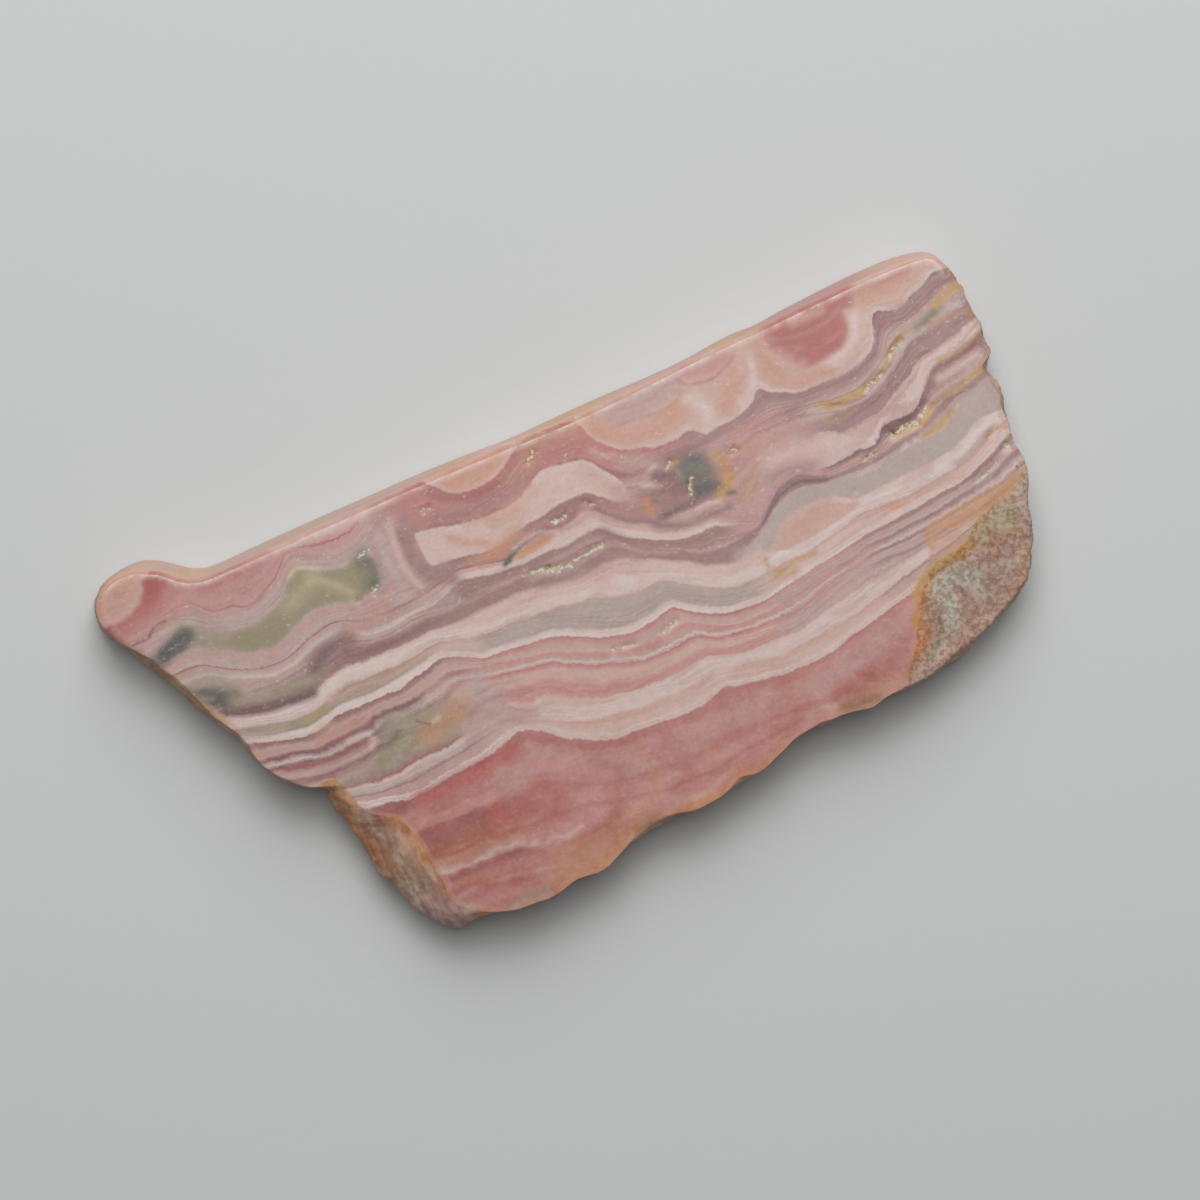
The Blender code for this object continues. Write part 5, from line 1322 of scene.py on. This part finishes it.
def lay_laminae(node, noises, colour, across, growth, banded, tint):
    """Adds fine laminae, about 0.5 mm apart, that fork and fade along the layers."""
    phase = node("Math", (growth, LAMINA_RATE), operation="MULTIPLY")
    phase = node("Math", (noises["swell"], LAMINA_SWELL, phase), operation="MULTIPLY_ADD")
    wave = node("Math", (phase,), operation="SINE")
    lamina = node("MapRange", (wave, -0.6, 1.0, 0.0, LAMINA_DEPTH), **SMOOTH)
    fade = node("MapRange", (noises["fade"], 0.4, 0.6, 0.15, 1.0))
    foot = node("MapRange", (growth, -11.0, -9.0, 0.3, 1.0))
    fade = node("Math", (fade, foot), operation="MULTIPLY")
    # They are stronger where the vein bends up to the right.
    bend = node("MapRange", (across, 15.0, 20.0, 0.0, 0.9))
    high = node("MapRange", (growth, 2.5, 4.0, 0.0, 1.0))
    bend = node("Math", (bend, high), operation="MULTIPLY")
    bend = node("Math", (bend, 1.0), operation="ADD")
    for share in (fade, banded, bend):
        lamina = node("Math", (lamina, share), operation="MULTIPLY")
    return node("Mix", {0: lamina, 6: colour, 7: tint}, blend_type="MULTIPLY", **COLOURS)


def lay_crystal(node, noises, colour, growth, banded):
    """Adds what the crystals themselves show: cloud and columns in the foot, specks and grain."""
    deep = node("MapRange", (growth, *FOOT_TOP, 1.0, 0.0))
    cloud = node("MapRange", (noises["cloud"], 0.36, 0.6, 0.55, 0.0))
    cloud = node("Math", (cloud, deep), operation="MULTIPLY")
    tint = linear(STONE["cloud_tint"])
    colour = node("Mix", {0: cloud, 6: colour, 7: tint}, blend_type="MULTIPLY", **COLOURS)

    # Pale specks 0.3 mm across, and a few brighter ones above the middle of the vein.
    speck = node("MapRange", (noises["specks"], 0.52, 0.78, 0.0, 0.15))
    speck = node("Math", (speck, banded), operation="MULTIPLY")
    colour = node("Mix", {0: speck, 6: colour, 7: linear(STONE["blush"])}, **COLOURS)
    spark = node("MapRange", (noises["specks"], 0.66, 0.72, 0.0, 0.45))
    upper = node("MapRange", (growth, 3.0, 4.5, 0.0, 1.0))
    spark = node("Math", (spark, upper), operation="MULTIPLY")
    colour = node("Mix", {0: spark, 6: colour, 7: linear(STONE["white"])}, **COLOURS)

    # The foot's columns stand across the layers, and the grain is everywhere.
    shade = node("MapRange", (noises["columns"], 0.3, 0.7, -0.035, 0.035))
    shade = node("Math", (shade, deep, 1.04), operation="MULTIPLY_ADD")
    for kind, amount in (("grain", 0.06), ("specks", 0.05), ("mottle", 0.06)):
        tone = node("MapRange", (noises[kind], 0.25, 0.75, 1 - amount, 1 + amount))
        shade = node("Math", (shade, tone), operation="MULTIPLY")
    return node("VectorMath", {0: colour, "Scale": shade}, operation="SCALE")


def lay_crust(node, noises, colour, crust):
    """Lays pale crust, broken into crumbs 0.3 mm wide, and says where it lies."""
    crust = node("Math", (noises["crumbs"], 0.9, crust), operation="MULTIPLY_ADD")
    crust = node("MapRange", (crust, 0.9, 1.0, 0.0, 1.0), **SMOOTH)
    shadow = node("MapRange", (noises["specks"], 0.38, 0.56, 0.0, 1.0))
    dark, pale = linear(STONE["olive_grey"]), linear(STONE["crust"])
    crumb = node("Mix", {0: shadow, 6: dark, 7: pale}, **COLOURS)
    return node("Mix", {0: crust, 6: colour, 7: crumb}, **COLOURS), crust


def weather(node, noises, colour, stored):
    """Soaks rust into the broken sides, and gives the rind and the slope their crust."""
    rust = filled_ramp(node("ValToRGB", (noises["blotches"],)), (
        (0.32, "skin_dark"), (0.43, "skin_rust"), (0.55, "skin_tan"), (0.68, "skin_grey"),
    ))
    share = node("Math", (noises["blotches"], 0.6, stored["below"]), operation="MULTIPLY_ADD")
    share = node("MapRange", (share, 0.35, 0.8, 0.2, 0.7))
    skin = node("Math", (stored["rind"], stored["slope"]), operation="MAXIMUM")
    bare = node("MapRange", (skin, 0.4, 0.6, 1.0, 0.0))
    share = node("Math", (share, bare), operation="MULTIPLY")
    colour = node("Mix", {0: share, 6: colour, 7: rust}, **COLOURS)

    # The rind is a crust of fine grains. The slope is worn smooth, in streaks.
    for kind, pattern, low, high in (("rind", "lumps", 0.42, 0.56), ("slope", "streaks", 0.4, 0.6)):
        share = node("MapRange", (noises[pattern], low, high, 0.8, 0.0))
        mask = node("MapRange", (stored[kind], 0.4, 0.6, 0.0, 1.0))
        share = node("Math", (share, mask), operation="MULTIPLY")
        tint = linear(STONE[kind + "_tint"])
        colour = node("Mix", {0: share, 6: colour, 7: tint}, blend_type="MULTIPLY", **COLOURS)
    return colour


def lay_sawn_side(node, noises, colour, across, up, below):
    """Shows the layers edge on along the side that is sawn straight."""
    sawn = node("MapRange", (up, 13.6, 14.3, 0.0, 1.0))
    under = node("MapRange", (below, 0.08, 0.2, 0.0, 1.0))
    sawn = node("Math", (sawn, under), operation="MULTIPLY")
    sway = node("Math", (noises["waver"], 4.0, across), operation="MULTIPLY_ADD")
    low, high = SAWN_SIDE[0][0], SAWN_SIDE[-1][0]
    sway = node("MapRange", (sway, low, high, 0.0, 1.0))
    stops = [((x - low) / (high - low), name) for x, name in SAWN_SIDE]
    edge_on = filled_ramp(node("ValToRGB", (sway,)), stops)
    tone = node("MapRange", (noises["saw"], 0.3, 0.7, 0.9, 1.08))
    mottle = node("MapRange", (noises["mottle"], 0.3, 0.7, 0.95, 1.05))
    tone = node("Math", (tone, mottle), operation="MULTIPLY")
    edge_on = node("VectorMath", {0: edge_on, "Scale": tone}, operation="SCALE")
    return node("Mix", {0: sawn, 6: colour, 7: edge_on}, **COLOURS)


def banded_stone(name, finish, settings):
    """Banded rhodochrosite, a manganese carbonate laid down in layers, in one of its finishes."""
    material = bpy.data.materials.new(name)
    material.use_nodes = True
    tree = material.node_tree
    node = partial(add_node, tree)

    place = node("TexCoord", output="Object")
    stone = node("VectorMath", {0: place, "Scale": 1 / MM}, operation="SCALE")
    across = node("SeparateXYZ", (stone,), output=0)
    noises = noises_in(node, "stone", stone)
    stored = {
        kind: node("Attribute", output="Fac", attribute_name=kind)
        for kind in ("growth", "crust", "below", "rind", "slope", "rim")
    }

    # Layers waver over 2 mm, and end in crystal teeth 0.4 mm wide that point up the vein.
    growth = node("Math", (noises["waver"], WAVER, stored["growth"]), operation="MULTIPLY_ADD")
    growth = node("Math", (noises["teeth"], TEETH, growth), operation="MULTIPLY_ADD")
    growth = node("Math", (growth, (WAVER + TEETH) / 2), operation="SUBTRACT")
    noises |= noises_in(node, "layers", node("CombineXYZ", (across, growth)))

    colour = grown_layers(node, noises, across, growth)
    colour, banded = lay_bodies(node, noises, colour)
    tint = (*settings.layer_tint, 1.0)
    colour = lay_laminae(node, noises, colour, across, growth, banded, tint)
    colour = lay_crystal(node, noises, colour, growth, banded)
    colour, crust = lay_crust(node, noises, colour, stored["crust"])
    height = noises["crumbs"]
    if finish == "polished":
        # The polished edge gets a painted highlight, pale along the sawn rim where the saw left it sharp.
        highlight_share = node("MapRange", (noises["patches"], 0.35, 0.6, 0.15, 0.8))
        highlight_share = node("Math", (highlight_share, stored["rim"]), operation="MULTIPLY")
        colour = node("Mix", {0: highlight_share, 6: colour, 7: (*settings.rim_highlight_colour, 1.0)}, **COLOURS)
    if finish == "broken":
        noises |= noises_in(node, "sides", stone)
        height = noises["lumps"]
        up = node("SeparateXYZ", (stone,), output=1)
        colour = weather(node, noises, colour, stored)
        colour = lay_sawn_side(node, noises, colour, across, up, stored["below"])

    roughness, relief = FINISHES[finish]
    uneven = node("MapRange", (noises["grain"], 0.25, 0.75, roughness - 0.06, roughness + 0.06))
    dull = node("Mix", {0: crust, 2: uneven, 3: 0.8})
    bump = node("Bump", {"Strength": relief, "Distance": RELIEF_DEPTH * MM, "Height": height})
    shader = tree.nodes["Principled BSDF"]
    shader.inputs["IOR"].default_value = STONE_IOR
    for socket, output in (("Base Color", colour), ("Roughness", dull), ("Normal", bump)):
        tree.links.new(output, shader.inputs[socket])
    return material


def calendered_card(name, colour):
    """Matt card, pressed smooth between rollers.

    Pressing leaves a soft even sheen with no gloss, and only the faintest tooth of its fibres.
    """
    material = bpy.data.materials.new(name)
    material.use_nodes = True
    tree = material.node_tree
    node = partial(add_node, tree)
    place = node("TexCoord", output="Object")
    fibres = node("TexNoise", {"Vector": place, "Scale": 1 / (FIBRE * MM), "Detail": 4.0})
    dark = tuple(channel * 0.985 for channel in colour)
    tone = node("Mix", {0: fibres, 6: (*dark, 1.0), 7: (*colour, 1.0)}, **COLOURS)
    bump = node("Bump", {"Strength": 0.1, "Distance": 0.1 * MM, "Height": fibres})
    shader = tree.nodes["Principled BSDF"]
    shader.inputs["Roughness"].default_value = CARD_ROUGHNESS
    tree.links.new(tone, shader.inputs["Base Color"])
    tree.links.new(bump, shader.inputs["Normal"])
    return material


class SliceSettings(bpy.types.PropertyGroup):
    face_step: bpy.props.FloatProperty(
        name="Face step", description="Spacing of the points on the polished face",
        default=0.22 * MM, min=0.05 * MM, subtype="DISTANCE", unit="LENGTH", precision=5,
    )
    back_step: bpy.props.FloatProperty(
        name="Back step", description="Spacing of the points on the sawn back",
        default=0.42 * MM, min=0.05 * MM, subtype="DISTANCE", unit="LENGTH", precision=5,
    )
    dip: bpy.props.FloatProperty(
        name="Dip", description="How far the layers lean back for each millimetre down",
        default=0.12, min=-1.0, max=1.0,
    )
    relief: bpy.props.FloatProperty(
        name="Relief", description="Height of the lumps and steps on the broken sides",
        default=1.0, min=0.0, max=2.0, subtype="FACTOR",
    )
    layer_tint: bpy.props.FloatVectorProperty(
        name="Layer tint", description="Tint of the fine dark layers in the banding",
        default=linear(STONE["layer_tint"])[:3], size=3, min=0.0, max=1.0, subtype="COLOR",
    )
    # the colour of the painted highlight along the sawn rim
    rim_highlight_colour: bpy.props.FloatVectorProperty(
        name="Rim highlight", description="Colour of the painted highlight along the sawn rim",
        default=linear(STONE["edge"])[:3], size=3, min=0.0, max=1.0, subtype="COLOR",
    )


class StageSettings(bpy.types.PropertyGroup):
    floor_width: bpy.props.FloatProperty(
        name="Floor width", description="Width of the floor",
        default=3.0, min=0.5, subtype="DISTANCE", unit="LENGTH",
    )
    floor_colour: bpy.props.FloatVectorProperty(
        name="Floor colour", description="Colour of the floor",
        default=linear("#cbcdcc")[:3], size=3, min=0.0, max=1.0, subtype="COLOR",
    )
    view_width: bpy.props.FloatProperty(
        name="View width", description="Width of the view at the polished face",
        default=0.096, min=0.01, subtype="DISTANCE", unit="LENGTH",
    )
    lens: bpy.props.FloatProperty(
        name="Lens", description="Focal length of the camera", default=100.0, min=10.0, unit="CAMERA",
    )


class MESH_OT_rhodochrosite_slice_add(bpy.types.Operator):
    """Add the polished slice of banded rhodochrosite"""

    bl_idname = "mesh.rhodochrosite_slice_add"
    bl_label = "Rhodochrosite Slice"
    bl_options = {"REGISTER", "UNDO"}

    def execute(self, context):
        settings = context.scene.stone_slice
        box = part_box(NODE)
        bm = bmesh.new()
        bm.from_mesh(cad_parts[NODE].data)
        bmesh.ops.remove_doubles(bm, verts=bm.verts, dist=0.001 * MM)
        top = box[1].z
        flat = []
        for level in (0.0, top):
            flat += [f for f in bm.faces if all(abs(v.co.z - level) < 0.01 * MM for v in f.verts)]
        bmesh.ops.delete(bm, geom=flat, context="FACES")
        fine_wall(bm)
        roughen_wall(bm, box, settings.relief)
        for face in bm.faces:
            face.smooth = True
            face.material_index = BROKEN
        open_edges = [e for e in bm.edges if e.is_boundary]
        high = [e for e in open_edges if e.verts[0].co.z > top / 2]
        low = [e for e in open_edges if e.verts[0].co.z < top / 2]
        rings = (ordered_loop(high), ordered_loop(low))
        if len(rings[0]) != len(high) or len(rings[1]) != len(low):
            raise RuntimeError("the rim of the slice isn't two clean rings")
        rim = [Vector((v.co.x, v.co.y, 0.0)) / MM for v in rings[0]]
        fill_cap(bm, rings[0], top, settings.face_step, True)
        wall_and_face = set(bm.faces)
        fill_cap(bm, rings[1], 0.0, settings.back_step, False)
        for face in bm.faces:
            if face not in wall_and_face:
                face.material_index = SAWN
        self.sink_pits(bm, top)
        mesh = bpy.data.meshes.new("banded_slice")
        bmesh.ops.recalc_face_normals(bm, faces=bm.faces)
        bm.to_mesh(mesh)
        bm.free()
        store_banding(mesh, settings.dip, rim)
        for name, finish in MATERIALS:
            mesh.materials.append(banded_stone(name, finish, settings))
        piece = bpy.data.objects.new("banded_slice", mesh)
        context.scene.collection.objects.link(piece)
        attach(piece, "root")
        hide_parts(NODE)
        return {"FINISHED"}

    def sink_pits(self, bm, top):
        """Sinks the crusted pits into the polished face."""
        verts = [v for v in bm.verts if v.co.z > top - 0.05 * MM]
        x = np.array([v.co.x for v in verts]) / MM
        y = np.array([v.co.y for v in verts]) / MM
        _, pit = crust_at(x, y)
        for vert, depth in zip(verts, pit):
            vert.co.z -= depth * MM


class SCENE_OT_stone_stage_add(bpy.types.Operator):
    """Add the pale floor, the soft lights and the camera above the slice"""

    bl_idname = "scene.stone_stage_add"
    bl_label = "Stone Stage"
    bl_options = {"REGISTER", "UNDO"}

    def execute(self, context):
        settings = context.scene.stone_stage
        scene = context.scene
        half = settings.floor_width / 2
        mesh = bpy.data.meshes.new("floor")
        corners = [(-half, -half, 0), (half, -half, 0), (half, half, 0), (-half, half, 0)]
        mesh.from_pydata(corners, [], [(0, 1, 2, 3)])
        mesh.materials.append(calendered_card("matt pale card", settings.floor_colour))
        floor = bpy.data.objects.new("floor", mesh)
        scene.collection.objects.link(floor)

        turn = -math.radians(TURN)
        upward = Vector((-math.sin(turn), math.cos(turn), 0.0))
        middle = MIDDLE * MM
        camera_data = bpy.data.cameras.new("camera")
        camera_data.lens = settings.lens
        camera_data.sensor_width = SENSOR
        camera_data.clip_start = 0.01
        distance = settings.view_width * settings.lens / SENSOR
        camera = bpy.data.objects.new("camera", camera_data)
        camera.location = middle + Vector((0, 0, THICKNESS * MM + distance))
        camera.rotation_euler = (0.0, 0.0, turn)
        scene.collection.objects.link(camera)
        scene.camera = camera

        for name, climb, watts in LIGHTS:
            data = bpy.data.lights.new(name, "AREA")
            data.shape = "DISK"
            data.size = LIGHT_SIZE
            data.energy = watts
            light = bpy.data.objects.new(name, data)
            climb = math.radians(climb)
            away = upward * math.cos(climb) + Vector((0, 0, math.sin(climb)))
            light.location = middle + away * LIGHT_DISTANCE
            light.rotation_euler = (middle - light.location).to_track_quat("-Z", "Y").to_euler()
            scene.collection.objects.link(light)

        world = bpy.data.worlds.new("soft room")
        world.use_nodes = True
        background = world.node_tree.nodes["Background"]
        background.inputs["Color"].default_value = linear("#ffffff")
        background.inputs["Strength"].default_value = ROOM_LIGHT
        scene.world = world
        scene.view_settings.view_transform = "Standard"
        return {"FINISHED"}


class VIEW3D_PT_stone_slice(bpy.types.Panel):
    bl_label = "Rhodochrosite Slice"
    bl_idname = "VIEW3D_PT_stone_slice"
    bl_space_type = "VIEW_3D"
    bl_region_type = "UI"
    bl_category = "Stone"

    def draw(self, context):
        layout = self.layout
        for settings, operator in (
            (context.scene.stone_slice, "mesh.rhodochrosite_slice_add"),
            (context.scene.stone_stage, "scene.stone_stage_add"),
        ):
            for name in settings.__annotations__:
                layout.prop(settings, name)
            layout.operator(operator)


CLASSES = (
    SliceSettings,
    StageSettings,
    MESH_OT_rhodochrosite_slice_add,
    SCENE_OT_stone_stage_add,
    VIEW3D_PT_stone_slice,
)


def register():
    for cls in CLASSES:
        bpy.utils.register_class(cls)
    bpy.types.Scene.stone_slice = bpy.props.PointerProperty(type=SliceSettings)
    bpy.types.Scene.stone_stage = bpy.props.PointerProperty(type=StageSettings)


def unregister():
    del bpy.types.Scene.stone_stage
    del bpy.types.Scene.stone_slice
    for cls in reversed(CLASSES):
        bpy.utils.unregister_class(cls)


def main():
    """Makes the slice and its stage."""
    register()
    bpy.ops.mesh.rhodochrosite_slice_add()
    bpy.ops.scene.stone_stage_add()


if __name__ == "__main__":
    main()
